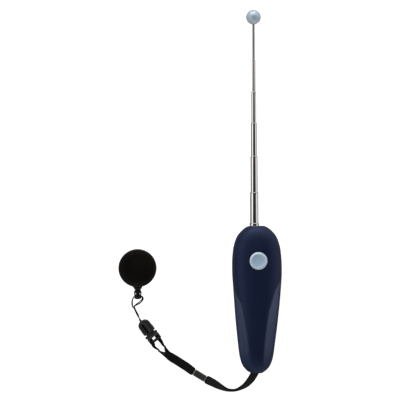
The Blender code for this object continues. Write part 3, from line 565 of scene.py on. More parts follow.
def slab(name, outline, z0, z1, material, r=0.3, origin=(0, 0, 0), axis=(0, 0, 1), side=SIDE,
         steps=3, corner=0.0, sharp=38.0, r_low=None):
    """An outline given thickness, with its top and bottom edges rounded by r."""
    outline = ccw(list(outline))
    if corner:
        outline = fillet(outline, corner, 4)
    m = basis(origin, axis, side)
    r_low = r if r_low is None else r_low
    levels = []
    for k in range(steps + 1):
        a = pi / 2 * k / steps
        levels.append((z0 + r_low * (1 - sin(a)), r_low * (1 - cos(a))) if r_low else (z0, 0))
    levels = levels[::-1]
    levels = [(z0 + r_low * (1 - sin(pi / 2 * k / steps)), r_low * (1 - cos(pi / 2 * k / steps)))
              for k in range(steps, -1, -1)] if r_low else [(z0, 0.0)]
    levels += [(z1 - r * (1 - sin(pi / 2 * k / steps)), r * (1 - cos(pi / 2 * k / steps)))
               for k in range(0, steps + 1)] if r else [(z1, 0.0)]
    bm = bmesh.new()
    rings = [[bm.verts.new(m @ Vector((u * MM, v * MM, z * MM))) for u, v in inset(outline, d)]
             for z, d in levels]
    n = len(outline)
    for a, b in zip(rings, rings[1:]):
        for k in range(n):
            j = (k + 1) % n
            bm.faces.new((a[k], a[j], b[j], b[k]))
    bm.faces.new(rings[0][::-1])
    bm.faces.new(rings[-1])
    return add_object(name, bm, material, sharp)


def rod(name, r, a, b, n=32, material=None, radius=0.0):
    a, b = Vector(a), Vector(b)
    d = b - a
    side = (1, 0, 0) if abs(d.normalized().x) < 0.9 else (0, 0, 1)
    return lathe(name, [(0, 0), (r, 0), (r, d.length), (0, d.length)], a, d, side, n, material,
                 radius)


def box(name, lo, hi, material=None):
    return slab(name, [(lo[0], lo[1]), (hi[0], lo[1]), (hi[0], hi[1]), (lo[0], hi[1])],
                lo[2], hi[2], material, 0)


def rounded_rect(hx, hy, r, n=6):
    pts = []
    for cx, cy, a0 in ((hx - r, hy - r, 0), (-hx + r, hy - r, 90),
                       (-hx + r, -hy + r, 180), (hx - r, -hy + r, 270)):
        for k in range(n + 1):
            a = radians(a0 + 90 * k / n)
            pts.append((cx + r * cos(a), cy + r * sin(a)))
    return pts


def piece(ob, body, *nodes, slot=None):
    """The piece rides on the body and stands for the nodes."""
    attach(ob, body)
    if nodes:
        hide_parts(*nodes)
    return ob


def lerp_table(table, t):
    """Smooth (monotone cubic) reading of a table of (t, value) design stations."""
    if t <= table[0][0]:
        return table[0][1]
    if t >= table[-1][0]:
        return table[-1][1]
    n = len(table)
    k = max(i for i in range(n - 1) if table[i][0] <= t)

    def slope(i):
        return (table[i + 1][1] - table[i][1]) / (table[i + 1][0] - table[i][0])

    def tangent(i):
        if i == 0:
            return slope(0)
        if i == n - 1:
            return slope(n - 2)
        a, b = slope(i - 1), slope(i)
        return 0.0 if a * b <= 0 else 2 * a * b / (a + b)

    h = table[k + 1][0] - table[k][0]
    s = (t - table[k][0]) / h
    p0, p1 = table[k][1], table[k + 1][1]
    m0, m1 = tangent(k) * h, tangent(k + 1) * h
    return ((2 * s ** 3 - 3 * s ** 2 + 1) * p0 + (s ** 3 - 2 * s ** 2 + s) * m0
            + (-2 * s ** 3 + 3 * s ** 2) * p1 + (s ** 3 - s ** 2) * m1)


def smooth(a, b, t):
    t = min(1.0, max(0.0, (t - a) / (b - a)))
    return t * t * (3 - 2 * t)


# ------------------------------------------------------------- handle shells
HALF_WIDTH = [(0, 6.3), (0.8, 8.4), (2, 10.3), (3.5, 12.1), (7.7, 15.9), (12, 18.0),
              (16.2, 19.3), (20.4, 20.1), (28.8, 20.85), (36, 21.0), (41.4, 20.9),
              (49.8, 20.35), (62.5, 19.4), (79.3, 17.9), (96.2, 16.0), (108.8, 14.35),
              (113, 13.4), (117.2, 11.8), (121.0, 8.9), (123.0, 6.4), (124, 4.6)]
FRONT = [(0, 4.8), (0.8, 6.2), (3.5, 8.6), (7.7, 10.7), (12, 12.0), (20, 13.2),
         (29.5, 13.8), (41, 14.0), (60, 14.0), (80, 13.3), (100, 12.0), (110, 10.8),
         (117, 8.8), (121, 6.8), (124, 4.2)]
BACK = [(0, 6.7), (0.8, 7.9), (3.5, 9.8), (7.7, 11.3), (12, 12.1), (18, 12.5),
        (104, 12.5), (111, 11.3), (117, 9.2), (121, 6.9), (124, 4.2)]
CREASE_L = [(0, 0.97), (49, 0.97), (53, 0.945), (60, 0.835), (66, 0.69), (72, 0.635),
            (80, 0.575), (88, 0.525), (95, 0.485), (105, 0.45), (113, 0.45), (119, 0.5),
            (124, 0.6)]
CREASE_R = [(0, 0.97), (40, 0.97), (45.5, 0.94), (50, 0.85), (54, 0.76), (60, 0.685),
            (66, 0.615), (72, 0.545), (80, 0.5), (88, 0.465), (95, 0.45), (105, 0.43),
            (113, 0.44), (119, 0.5), (124, 0.6)]
# the outline isn't quite symmetric: its middle line wanders sideways by this much
BOW = [(0, 0.42), (27, 0.53), (47, 0.66), (60, 0.58), (74, 0.34), (88, 0.12), (101, -0.1),
       (124, -0.22)]


def eroded(table, t, d):
    if d == 0:
        return lerp_table(table, t)
    best = 1e9
    for k in range(-8, 9):
        dy = d * k / 8
        if 0 <= t + dy <= 2 * HANDLE_HALF:
            best = min(best, lerp_table(table, t + dy) - sqrt(d * d - dy * dy))
    return best


def raw_front(u, t, inset_):
    """Heights above the parting plane for an array of u = x / half width."""
    w, hf = eroded(HALF_WIDTH, t, inset_), eroded(FRONT, t, inset_)
    au = np.abs(u)
    dome = hf * np.sqrt(np.maximum(0.0, 1 - np.minimum(au, 1.0) ** 2.35))
    share = np.where(u > 0, smooth(40, 58, t), smooth(48, 64, t)) * (1 - smooth(108, 120, t))
    if np.max(share) <= 0:
        return dome
    c = np.where(u > 0, lerp_table(CREASE_R, t), lerp_table(CREASE_L, t))
    e = 1 - 1.1 / w
    top = hf * (1 - c ** 2.35) ** 0.5
    low = max(1.2, 2.9 - inset_ * 0.4)
    s = np.clip((au - c) / np.maximum(1e-6, e - c), 0, 1)
    facet = top + (low - top) * s - 1.1 * np.sin(pi * s) * np.clip((e - c) * w / 6, 0, 1)
    s2 = np.clip((au - e) / (1 - e), 0, 1)
    rim = low * np.sqrt(np.maximum(0.0, 1 - s2 * s2))
    z = np.where(au < e, facet, rim)
    z = np.where(au <= c, dome, dome * (1 - share) + np.minimum(z, dome) * share)
    return z


def front_height(u, t, inset_=0.0, soft=0.5):
    """The same with the creases rounded off by a short running mean."""
    u = np.atleast_1d(np.asarray(u, float))
    z = raw_front(u, t, inset_)
    if soft <= 0 or inset_ > 0 or t < 40:
        return z
    w = lerp_table(HALF_WIDTH, t)
    mean, total = np.zeros_like(z), 0.0
    for k, wt in ((-1.0, 0.08), (-0.75, 0.14), (-0.4, 0.18), (0.0, 0.2), (0.4, 0.18),
                  (0.75, 0.14), (1.0, 0.08)):
        mean = mean + wt * raw_front(u + k * soft * 1.6 / w, t, 0.0)
        total += wt
    near_edge = np.clip((np.abs(u) - (1 - 2.4 / w)) / (1.2 / w), 0, 1)
    return (mean / total) * (1 - near_edge) + z * near_edge


def back_depth(u, t, inset_=0.0):
    u = np.atleast_1d(np.asarray(u, float))
    hb = eroded(BACK, t, inset_)
    d = hb * np.maximum(0.0, 1 - np.minimum(np.abs(u), 1.0) ** 3.2) ** (1 / 2.2)
    flat = PART_Z - 0.15 - inset_
    if inset_ > 0:
        return np.minimum(d, flat)
    # a short round where the side meets the flat back
    k = 0.5
    h = np.clip(0.5 + 0.5 * (d - flat) / k, 0, 1)
    return np.minimum(d + (flat - d) * h - k * h * (1 - h), flat)


def shell(name, height, flip, plane):
    rows = 190 if FINE else 70
    half = 50 if FINE else 22
    inner_half = 12
    ts = [HANDLE_HALF * (1 - cos(pi * i / rows)) for i in range(rows + 1)]
    lo, hi = WALL, 2 * HANDLE_HALF - WALL
    bm = bmesh.new()
    right = [sin(pi / 2 * k / half) for k in range(half + 1)]
    us = np.array([-v for v in right[:0:-1]] + right)
    iright = [sin(pi / 2 * k / inner_half) for k in range(inner_half + 1)]
    ius = np.array([-v for v in iright[:0:-1]] + iright)
    out, inn = [], []
    for t in ts:
        w, mid = lerp_table(HALF_WIDTH, t), lerp_table(BOW, t)
        z = np.maximum(height(us, t), 0.22)
        y = HANDLE_HALF - t
        pts = [(-(w - 0.22), y, 0.0), (-(w - 0.07), y, 0.07)]
        pts += [(u * w, y, h) for u, h in zip(us, z)]
        pts += [(w - 0.07, y, 0.07), (w - 0.22, y, 0.0)]
        out.append([bm.verts.new(((mid + x) * MM, yy * MM, (plane + flip * h) * MM))
                    for x, yy, h in pts])
        ti = lo + (hi - lo) * t / 124.0
        wi = eroded(HALF_WIDTH, ti, WALL)
        zi = height(ius, ti, WALL)
        mid = lerp_table(BOW, ti)
        inn.append([bm.verts.new(((mid + u * wi) * MM, (HANDLE_HALF - ti) * MM,
                                  (plane + flip * h) * MM)) for u, h in zip(ius, zi)])
    for grid in (out, inn):
        for a, b in zip(grid, grid[1:]):
            for k in range(len(a) - 1):
                bm.faces.new((a[k], a[k + 1], b[k + 1], b[k]))
        bm.faces.new(grid[0][::-1])
        bm.faces.new(grid[-1])
    for k in (0, -1):
        for i in range(len(out) - 1):
            bm.faces.new((out[i][k], out[i + 1][k], inn[i + 1][k], inn[i][k]))
    for i in (0, -1):
        bm.faces.new((out[i][0], inn[i][0], inn[i][-1], out[i][-1]))
    bmesh.ops.triangulate(bm, faces=bm.faces)
    return add_object(name, bm, NAVY, 40)


def rib(y, thick, height, flip, plane):
    t = HANDLE_HALF - y
    w = eroded(HALF_WIDTH, t, WALL - 0.6)
    n = 36
    us = np.array([-1 + 2 * k / n for k in range(n + 1)])
    zs = height(us, t, WALL - 0.6)
    mid = lerp_table(BOW, t)
    pts = [(mid + u * w, max(1.0, plane + flip * max(0.27, z))) for u, z in zip(us, zs)]
    pts[0] = (pts[0][0] + 0.21, plane + flip * 0.27)
    pts[-1] = (pts[-1][0] - 0.21, plane + flip * 0.27)
    return slab("rib", pts, 0, thick, None, 0, (0, y + thick / 2, 0), (0, -1, 0), (1, 0, 0))


def surface(x, y):
    """Height of the front shell's outside at a point in plan (mm)."""
    t = HANDLE_HALF - y
    u = (x - lerp_table(BOW, t)) / lerp_table(HALF_WIDTH, t)
    return PART_Z + 0.15 + float(front_height(u, t)[0])


def button_cutter():
    """A round cutter whose mouth follows the surface, so the hole gets a rounded lip."""
    bx, by = BUTTON
    r0, f = BUTTON_R + 0.42, 0.3
    n = 96 if FINE else 40
    profile = [(r0, None, 20.0)]
    for k in range(0, 6):
        a = radians(75) * k / 5
        profile.append((r0 + f * (1 - cos(a)), f * (1 - sin(a)), None))
    profile.append((r0 + f + 0.12, -0.25, None))
    profile.append((r0 + f + 0.12, None, 30.0))
    rings = []
    for r, drop, z in profile:
        ring = []
        for k in range(n):
            a = 2 * pi * k / n
            x, y = bx + r * cos(a), by + r * sin(a)
            ring.append((x, y, z if drop is None else surface(x, y) - drop))
        rings.append(ring)
    return loft("cutter", rings, None)


front = shell("handle_front", front_height, 1, PART_Z + 0.15)
back = shell("handle_back", back_depth, -1, PART_Z - 0.15)
adds_f, adds_b = [], []
for y in (50.0, -3.0, -29.5, -40.5):
    adds_f.append(rib(y, 1.6, front_height, 1, PART_Z + 0.15))
for y in (50.0, 18.0, -10.0, -29.5, -40.5):
    adds_b.append(rib(y, 1.6, back_depth, -1, PART_Z - 0.15))
for x, y in SCREWS:
    around = [(x + dx * 3.8, HANDLE_HALF - y + dt * 3.8) for dx, dt in
              ((-1, 0), (1, 0), (0, -1), (0, 1), (0.7, 0.7), (-0.7, 0.7), (0.7, -0.7),
               (-0.7, -0.7))]
    around = [((a - lerp_table(BOW, b)) / lerp_table(HALF_WIDTH, b), b) for a, b in around]
    ceiling = PART_Z - 1.0 + min(float(raw_front(np.array([u]), b, 0.0)[0]) for u, b in around)
    low = PART_Z + 1.0 - min(float(back_depth(u, b)[0]) for u, b in around)
    adds_f.append(rod("boss", 3.1, (x, y, PART_Z + 0.4), (x, y, ceiling), 32))
    adds_b.append(rod("boss", 3.7, (x, y, low), (x, y, PART_Z - 0.4), 32))
adds_f.append(box("boss", (LEAF_X - 5.2, LEAF_Y - 2.5, 18.25), (LEAF_X + 5.2, LEAF_Y + 2.5, 24.6)))
for sx in (-1, 1):
    x0 = sx * 6.0
    ends = (HANDLE_HALF - PIN_Y - 2.0, HANDLE_HALF - PIN_Y + 2.0)
    base = 0.8 + max(PART_Z - float(back_depth((abs(x0) + 1.3) / lerp_table(HALF_WIDTH, t), t)[0])
                     for t in ends)
    adds_b.append(box("post", (x0 - 1.0, PIN_Y - 2.0, base), (x0 + 1.0, PIN_Y + 2.0, PART_Z + 0.9)))
    roof = min(PART_Z + float(raw_front(np.array([(abs(x0) + 1.3) / lerp_table(HALF_WIDTH, t)]),
                                        t, 0.0)[0]) for t in ends) - 0.8
    adds_f.append(box("post", (x0 - 1.0, PIN_Y - 2.0, PART_Z + 2.2), (x0 + 1.0, PIN_Y + 2.0, roof)))
cut(front, adds_f, "UNION")
cut(back, adds_b, "UNION")


def channel_tools():
    tail = []
    for y, hx, hy, r in ((-57.0, 4.9, 2.2, 1.6), (-61.3, 4.9, 2.2, 1.6), (-61.8, 5.05, 2.35, 1.7),
                         (-62.2, 5.4, 2.7, 1.9), (-65.0, 5.4, 2.7, 1.9)):
        tail.append([(-1.5 + u, y, PART_Z + v) for u, v in rounded_rect(hx, hy, r, 6)])
    return [
        lathe("cutter", [(0, 0), (4.3, 0), (4.3, 99.55), (4.45, 99.85), (4.75, 100.1),
                         (4.75, 104), (0, 104)],
              (STICK_X, -38.0, STICK_Z), (0, 1, 0), SIDE, 64 if FINE else 32, None),
        loft("cutter", tail, None),
        rod("cutter", 1.55, (-7.7, PIN_Y, PART_Z), (7.7, PIN_Y, PART_Z), 24),
    ]


bx, by = BUTTON
tools = channel_tools() + [
    button_cutter(),
    rod("cutter", 9.7, (bx, by, 13.0), (bx, by, 22.7), 64),
    rod("cutter", 1.05, (LEAF_X, LEAF_Y, 17.0), (LEAF_X, LEAF_Y, 22.4), 16),
]
for x, y in SCREWS:
    tools.append(rod("cutter", 1.05, (x, y, PART_Z - 1), (x, y, PART_Z + 6.6), 16))
cut(front, tools, sharp=40)
tools = channel_tools()
for x, y in SCREWS:
    tools.append(lathe("cutter", [(0, -1.0), (3.35, -1.0), (3.35, 0.0), (3.05, 0.2), (2.95, 0.5),
                                  (2.95, 5.0), (1.6, 5.0), (1.6, PART_Z + 1), (0, PART_Z + 1)],
                       (x, y, 0), (0, 0, 1), SIDE, 48, None))
cut(back, tools, sharp=40)


def paint_flank_highlight(ob):
    """Paints highlights on the cut-away flanks of the grip: a paler colour than its domed face,
    stronger on the right flank and fading towards the outer edge.
    """
    me = ob.data
    co = np.empty(len(me.vertices) * 3)
    me.vertices.foreach_get("co", co)
    co = co.reshape(-1, 3) / MM
    values = np.zeros(len(co), np.float32)
    for i, (x, y, z) in enumerate(co):
        t = HANDLE_HALF - y
        if not 40 < t < 123.9:
            continue
        x = x - lerp_table(BOW, t)
        w, c = lerp_table(HALF_WIDTH, t), lerp_table(CREASE_R if x > 0 else CREASE_L, t)
        out_ = abs(x) - c * w
        # painted highlight: weaker on the left flank than the right and fading near the outer edge,
        # as the light falls
        start = 42 if x > 0 else 51
        share = smooth(start, start + 9, t) * (1 - smooth(100, 121, t))
        along = 1.0 - 0.35 * smooth(60, 110, t)
        along *= 1.0 - 0.16 * smooth(66, 92, t) if x > 0 else 0.76
        values[i] = share * along * smooth(-0.5, 0.8, out_) * (1 - 0.55 * smooth(w - 3.2, w - 0.6,
                                                                             abs(x)))
    att = me.attributes.new("facet", "FLOAT", "POINT")
    att.data.foreach_set("value", values)


paint_flank_highlight(front)
piece(front, "handle", "handle_front_shell", slot="navy_plastic")
piece(back, "handle", "handle_back_shell", slot="navy_plastic")


# -------------------------------------------------------------------- screws
def cross_screw(name, profile, at, head_z, width, n=32):
    ob = lathe(name, profile, (*at, 0), (0, 0, 1), SIDE, n, SCREW, 0.12, 2)
    arms = []
    for hx, hy in ((width, 0.27), (0.27, width)):
        arms.append(loft("cutter", [
            [(at[0] + sx * hx * k, at[1] + sy * hy * k2, head_z + z)
             for sx, sy in ((-1, -1), (1, -1), (1, 1), (-1, 1))]
            for z, k, k2 in ((-0.5, 1.0, 1.1), (0.05, 1.0, 1.1), (0.9, 0.55, 0.7))], None))
    return cut(ob, arms)


for i, (x, y) in enumerate(SCREWS):
    ob = cross_screw("case_screw_%d" % (i + 1),
                     [(0, 3.0), (1.9, 3.0), (2.6, 3.5), (2.6, 4.7), (1.25, 4.7), (1.25, 12.0),
                      (0.75, 12.4), (0.75, 17.4), (0, 18.0)], (x, y), 3.0, 1.35)
    piece(ob, "handle", "shell_screw_%d" % (i + 1), slot="screw_steel")

# ------------------------------------------------------------------- clicker
cap = [(0, BUTTON_TOP - 0.95), (1.8, BUTTON_TOP - 0.92), (3.2, BUTTON_TOP - 0.80),
       (4.2, BUTTON_TOP - 0.58), (4.9, BUTTON_TOP - 0.32), (5.35, BUTTON_TOP - 0.13),
       (5.7, BUTTON_TOP - 0.03), (5.95, BUTTON_TOP), (6.25, BUTTON_TOP - 0.05),
       (6.6, BUTTON_TOP - 0.19), (6.95, BUTTON_TOP - 0.44), (7.2, BUTTON_TOP - 0.74),
       (7.4, BUTTON_TOP - 1.15), (BUTTON_R, BUTTON_TOP - 1.6),
       (BUTTON_R, 22.5), (BUTTON_R + 0.1, 22.35), (9.2, 22.35), (9.3, 22.25), (9.3, 21.3),
       (9.2, 21.2), (6.3, 21.2), (6.3, 24.6), (2.2, 24.6), (2.0, 18.35), (1.85, 18.2), (0, 18.2)]
cap_ob = lathe("thumb_button", cap, (bx, by, 0), (0, 0, 1), SIDE, 96, BLUE, 0.0)
# painted highlight on the rounded rim of the button's top
rim = cap_ob.data.attributes.new("rim", "FLOAT", "POINT")
for i, v in enumerate(cap_ob.data.vertices):
    r_ = hypot(v.co.x / MM - bx, v.co.y / MM - by)
    if v.co.z / MM > BUTTON_TOP - 2.2:
        rim.data[i].value = smooth(4.9, 6.0, r_)
piece(cap_ob, "button", "button_cap", slot="light_blue_plastic")

leaf = slab("click_spring", [(-4.5, -2.3), (4.5, -2.3), (4.5, 24.0), (3.2, 30.8), (-3.2, 30.8),
                             (-4.5, 24.0)], 17.5, 17.9, STEEL, 0.08, (LEAF_X, LEAF_Y, 0),
            corner=0.8)
cut(leaf, [rod("cutter", 1.75, (LEAF_X, LEAF_Y, 15.0), (LEAF_X, LEAF_Y, 20.0), 24)])
piece(leaf, "leaf", "clicker_leaf", slot="spring_steel")
plate = slab("spring_clamp", [(-4.5, -2.2), (4.5, -2.2), (4.5, 2.2), (-4.5, 2.2)], 16.35, 17.15,
             STEEL, 0.12, (LEAF_X, LEAF_Y, 0), corner=0.6)
cut(plate, [rod("cutter", 1.5, (LEAF_X, LEAF_Y, 15.0), (LEAF_X, LEAF_Y, 20.0), 24)])
piece(plate, "handle", "leaf_clamp_plate", slot="spring_steel")
ob = cross_screw("spring_screw", [(0, 15.0), (1.6, 15.0), (2.2, 15.3), (2.2, 16.1), (1.2, 16.1),
                                  (1.2, 18.0), (0.75, 18.2), (0.75, 21.6), (0, 22.1)],
                 (LEAF_X, LEAF_Y), 15.0, 1.0)
piece(ob, "handle", "leaf_screw", slot="screw_steel")


# ------------------------------------------------------------ telescopic rod
def turned(name, profile, material, n=72, radius=0.0, steps=3, wave=None):
    return lathe(name, profile, (STICK_X, 0, STICK_Z), (0, 1, 0), SIDE, n, material, radius,
                 steps, wave=wave)


feet = [FOOT_CLOSED - 2.0]
for i in range(1, 6):
    feet.append(TOPS[i] - (FIXED_TOP + i - FOOT_CLOSED))
for i, r in enumerate(TUBE_R):
    top, foot = TOPS[i], feet[i]
    bore = r - TUBE_WALL
    nxt = TUBE_R[i + 1] if i < 5 else ROD_R
    lip = nxt + 0.05
    d = r - lip
    # the mouth is rolled in over the next section, behind a shallow rolled neck
    prof = [(r, foot + 0.15), (r, top - 2.3), (r - 0.09, top - 2.0), (r - 0.09, top - 1.6),
            (r, top - 1.3)]
    for k in range(7):
        a = pi / 2 * k / 6
        prof.append((r - d * (1 - cos(a)) * 0.96, top - min(0.9, d * 1.6) * (1 - sin(a))))
    prof += [(lip, top - 0.08), (lip, top - 0.6), (lip + 0.04, top - 0.7), (bore, top - 0.95),
             (bore, foot + 0.1), (bore + 0.07, foot), (r - 0.07, foot)]
    ob = turned("tube_%d" % (i + 1), prof, CHROME)
    # the rolled mouths get the rougher metal, darkened as painted shade at the lips
    ob.data.materials.append(MOUTH_SHADED)
    for f in ob.data.polygons:
        if f.center.y > (top - 1.0) * MM and f.normal.y > 0.2:
            f.material_index = 1
    body = "handle" if i == 0 else "section_%d" % (i + 1)
    piece(ob, body, "stick_tube_%d" % (i + 1), slot="chrome")
rod_foot = BALL_BOTTOM - (FIXED_TOP + 6 - FOOT_CLOSED)
ob = turned("tip_rod", [(0, rod_foot), (ROD_R, rod_foot), (ROD_R, BALL_BOTTOM + 5.0),
                        (0, BALL_BOTTOM + 5.0)], TIP_STEEL, 32, 0.12, 2)
piece(ob, "tip", "stick_tip_rod", slot="chrome")
RUN = [3.66, 3.19, 2.70, 2.25, 1.80, 1.30]
for i in range(6):
    r_in = (TUBE_R[i + 1] if i < 5 else ROD_R) + 0.03
    foot = feet[i + 1] if i < 5 else rod_foot
    ob = turned("bush_%d" % (i + 2),
                [(r_in, foot + 0.6), (r_in, foot + 7.6), (RUN[i], foot + 7.6),
                 (RUN[i], foot + 0.6)], BRASS, 40, min(0.05, (RUN[i] - r_in) * 0.3), 2)
    piece(ob, "section_%d" % (i + 2) if i < 5 else "tip", "foot_bush_%d" % (i + 2),
          slot="brass")
ob = turned("base_plug", [(0, -38.4), (5.6, -38.4), (5.6, -33.4), (3.5, -33.4),
                          (3.5, -32.3), (0, -32.3)], BLACK, 40, 0.25, 3)
piece(ob, "handle", "stick_base_plug", slot="black_plastic")

# ball: a moulded sphere with a small collar round the rod
prof = [(0, BALL_BOTTOM + 5.3), (1.25, BALL_BOTTOM + 5.3), (1.25, BALL_BOTTOM + 0.35),
        (1.35, BALL_BOTTOM + 0.12), (1.6, BALL_BOTTOM + 0.08)]
for k in range(1, 48):
    a = -pi / 2 + pi * k / 48
    if BALL_R * cos(a) > 1.7:
        prof.append((BALL_R * cos(a), BALL_BOTTOM + BALL_R + BALL_R * sin(a)))
prof += [(0.8, BALL_BOTTOM + BALL_R + sqrt(BALL_R ** 2 - 0.64)), (0, BALL_BOTTOM + 2 * BALL_R)]
ob = turned("ball", prof, RUBBER, 72)
piece(ob, "tip", "tip_ball", slot="light_blue_rubber")

ob = rod("lanyard_pin", 1.25, (-7.4, PIN_Y, PART_Z), (7.4, PIN_Y, PART_Z), 32, STEEL, 0.2)
piece(ob, "handle", "strap_pin", slot="spring_steel")


# ------------------------------------------------------------------- webbing
def spline(rows, step):
    """Catmull-Rom through rows of equal length, read about every step mm."""
    out = []
    n = len(rows)
    for i in range(n - 1):
        p0, p1 = rows[max(i - 1, 0)], rows[i]
        p2, p3 = rows[i + 1], rows[min(i + 2, n - 1)]
        d = sqrt(sum((p2[k] - p1[k]) ** 2 for k in range(3)))
        m = max(1, round(d / step))
        for j in range(m):
            s = j / m
            out.append([0.5 * (2 * b + (c - a) * s + (2 * a - 5 * b + 4 * c - d_) * s * s
                               + (3 * b - a - 3 * c + d_) * s ** 3)
                        for a, b, c, d_ in zip(p0, p1, p2, p3)])
    out.append(list(rows[-1]))
    return out


JOINED = [
    (-0.75, -60.4, 12.0, 0, 6.0, 0.85),
    (-1.9, -62.4, 11.7, 3, 6.1, 0.75),
    (-4.6, -67.2, 9.9, 30, 6.2, 0.72),
    (-9.45, -72.7, 7.4, 60, 6.6, 0.72),
    (-15.7, -76.25, 5.2, 80, 6.7, 0.72),
    (-20.6, -77.1, 4.1, 84, 6.7, 0.72),
    (-25.4, -76.45, 3.8, 76, 6.7, 0.72),
    (-30.5, -74.15, 3.65, 55, 6.7, 0.72),
    (-35.9, -71.15, 2.7, 25, 6.6, 0.72),
    (-40.7, -68.75, 2.0, 3, 6.4, 0.72),
    (-43.3, -67.5, 1.9, 0, 4.5, 0.72),
    (-47.9, -64.7, 1.9, 0, 4.4, 0.72),
    (-52.6, -61.8, 1.9, 0, 4.5, 0.72),
    (-55.0, -60.25, 1.8, 0, 6.6, 0.72),
    (-59.55, -56.9, 1.6, 0, 7.0, 0.72),
    (-66.7, -52.3, 1.5, 0, 7.0, 0.72),
    (-71.5, -49.3, 1.8, 5, 7.0, 0.72),
    (-74.0, -47.35, 2.8, 22, 6.6, 0.8),
    (-76.2, -45.5, 3.5, 50, 5.7, 1.65),
    (-78.8, -43.0, 3.3, 74, 4.7, 2.75),
    (-81.0, -40.2, 3.25, 82, 4.4, 3.5),
]
BA = Vector((BUCKLE[0], BUCKLE[1], 0.0))
BD = Vector((BUCKLE_DIR[0], BUCKLE_DIR[1], 0.0))
WIDE = 1.07                 # a little wider than its drawing
BE = Vector((-BUCKLE_DIR[1], BUCKLE_DIR[0], 0.0))


def at_buckle(s, l, z):
    p = BA + BD * s + BE * l
    return (p.x, p.y, z)


LEG_UP = [
    (-86.7, -39.9, 4.2, 60, 3.6),
    (*at_buckle(22.6, -3.9, 5.2), 26, 3.3),
    (*at_buckle(20.4, -3.45, 5.6), 4, 3.3),
    (*at_buckle(18.5, -3.05, 4.4), 0, 2.9),
    (*at_buckle(17.4, -2.95, 2.9), 0, 2.8),
]
LEG_LOW = [
    (-80.3, -35.8, 2.5, 50, 3.6),
    (*at_buckle(22.6, 2.9, 1.4), 22, 3.3),
    (*at_buckle(20.5, 2.75, 0.8), 0, 3.3),
    (*at_buckle(18.7, 2.75, 1.2), 0, 3.2),
    (*at_buckle(17.5, 2.75, 2.2), 0, 3.1),
]


def run_frames(sign, legs, start, step):
    rows = [[x, y, z, tw, w, sign * half] for x, y, z, tw, w, half in JOINED]
    rows = start + rows + [[*r[:5], 0.0] for r in legs]
    # the two layers lie close together where nothing keeps them apart
    rows = [[*r[:5], (0.61 * sign if 0.7 < abs(r[5]) < 0.8 else r[5])] for r in rows]
    pts = spline(rows, step)
    last = len(pts) - 1

    def turned_frame(line, i, angle, reach):
        tan_ = (line[min(i + reach, last)] - line[max(i - reach, 0)]).normalized()
        side = tan_.cross(Vector((0, 0, 1))).normalized()
        up = side.cross(tan_)
        c, s = cos(radians(angle)), sin(radians(angle))
        return side * c + up * s, up * c - side * s

    base = [Vector(p[:3]) for p in pts]
    reach = max(1, round(2.0 / step))
    mid = [base[i] + turned_frame(base, i, p[3], reach)[1] * p[5] for i, p in enumerate(pts)]
    # tape is stiff: its middle line, its turn and its width all change gently
    angle, width = [p[3] for p in pts], [p[4] for p in pts]
    for k in (max(1, round(1.1 / step)), max(1, round(0.7 / step))):
        def eased(values, i):
            r = min(k, i, last - i)
            return sum(values[i - r:i + r + 1], values[0] * 0) / (2 * r + 1)

        mid = [eased(mid, i) for i in range(last + 1)]
        angle = [eased(angle, i) for i in range(last + 1)]
        width = [eased(width, i) for i in range(last + 1)]
    out = []
    for i in range(last + 1):
        wide, thick = turned_frame(mid, i, angle[i], max(1, round(0.9 / step)))
        out.append((mid[i], wide, thick, width[i]))
    return out


def webbing(name, frames, material):
    """Flat woven tape: ribs of warp yarn that pass over and under the weft."""
    picks, yarns = 0.95, 8
    across = 32 if FINE else 12
    rings, ridge_lights = [], []
    length = 0.0
    last = None
    for p, wide, nrm, w in frames:
        if last is not None:
            length += (p - last).length
        last = p
        h, t = w / 2 * 1.04, WEB_T / 2 * 1.06
        ring, lift = [], []
        edge = t * 0.75

        def raised(f, side):
            f = min(max(f, 0.0), 1.0)
            i = min(yarns - 1, int(f * yarns))
            g = f * yarns - i
            rib_ = sqrt(max(0.0, 1 - (2 * g - 1) ** 2 * 0.92))
            over = 0.5 + 0.5 * cos(2 * pi * length / picks + pi * i + (pi if side < 0 else 0))
            return rib_ * (0.35 + 0.65 * over)

        for side in (1, -1):
            for k in range(across + 1):
                f = k / across
                if side < 0:
                    f = 1 - f
                x = (2 * f - 1) * (h - edge * 0.25)
                q = raised(f, side)
                fall = max(0.0, abs(x) - (h - edge)) / edge
                z = t * sqrt(max(0.03, 1 - min(1.0, fall) ** 2 * 0.97)) - 0.15 * (1 - q)
                ring.append(p + wide * x + nrm * (side * max(0.05, z)))
                lift.append(q)
            ring.append(p + wide * ((1 if side > 0 else -1) * h))
            lift.append(0.6)
        rings.append(ring)
        ridge_lights.append(lift)
    ob = loft(name, rings, material, 80)
    # painted shade in the grooves of the weave, lighter on the raised yarn
    att = ob.data.attributes.new("lift", "FLOAT", "POINT")
    att.data.foreach_set("value", np.array(ridge_lights, np.float32).ravel())
    # painted light: a lighter copy of the webbing on the stretch between the crimp and the hand,
    # where the turned tape looks brighter
    ob.data.materials.append(WEB_LIT)
    for f in ob.data.polygons:
        if f.center.x > -47.5 * MM:
            f.material_index = 1
    return ob


def bulge(frames_):
    """The tape opens out to its full width as soon as it leaves the crimp."""
    out_ = []
    for p, wide, nrm, w in frames_:
        for end_, sign in ((Vector((-43.3, -67.5, 1.9)), -1), (Vector((-52.6, -61.8, 1.9)), 1)):
            axis_ = (Vector((-52.6, -61.8, 1.9)) - Vector((-43.3, -67.5, 1.9))).normalized()
            d = (p - end_).dot(axis_) * sign
            if 0.15 < d < 6.0:
                w = max(w, 4.5 + 2.2 * smooth(0.15, 1.3, d))
        out_.append((p, wide, nrm, w))
    return out_


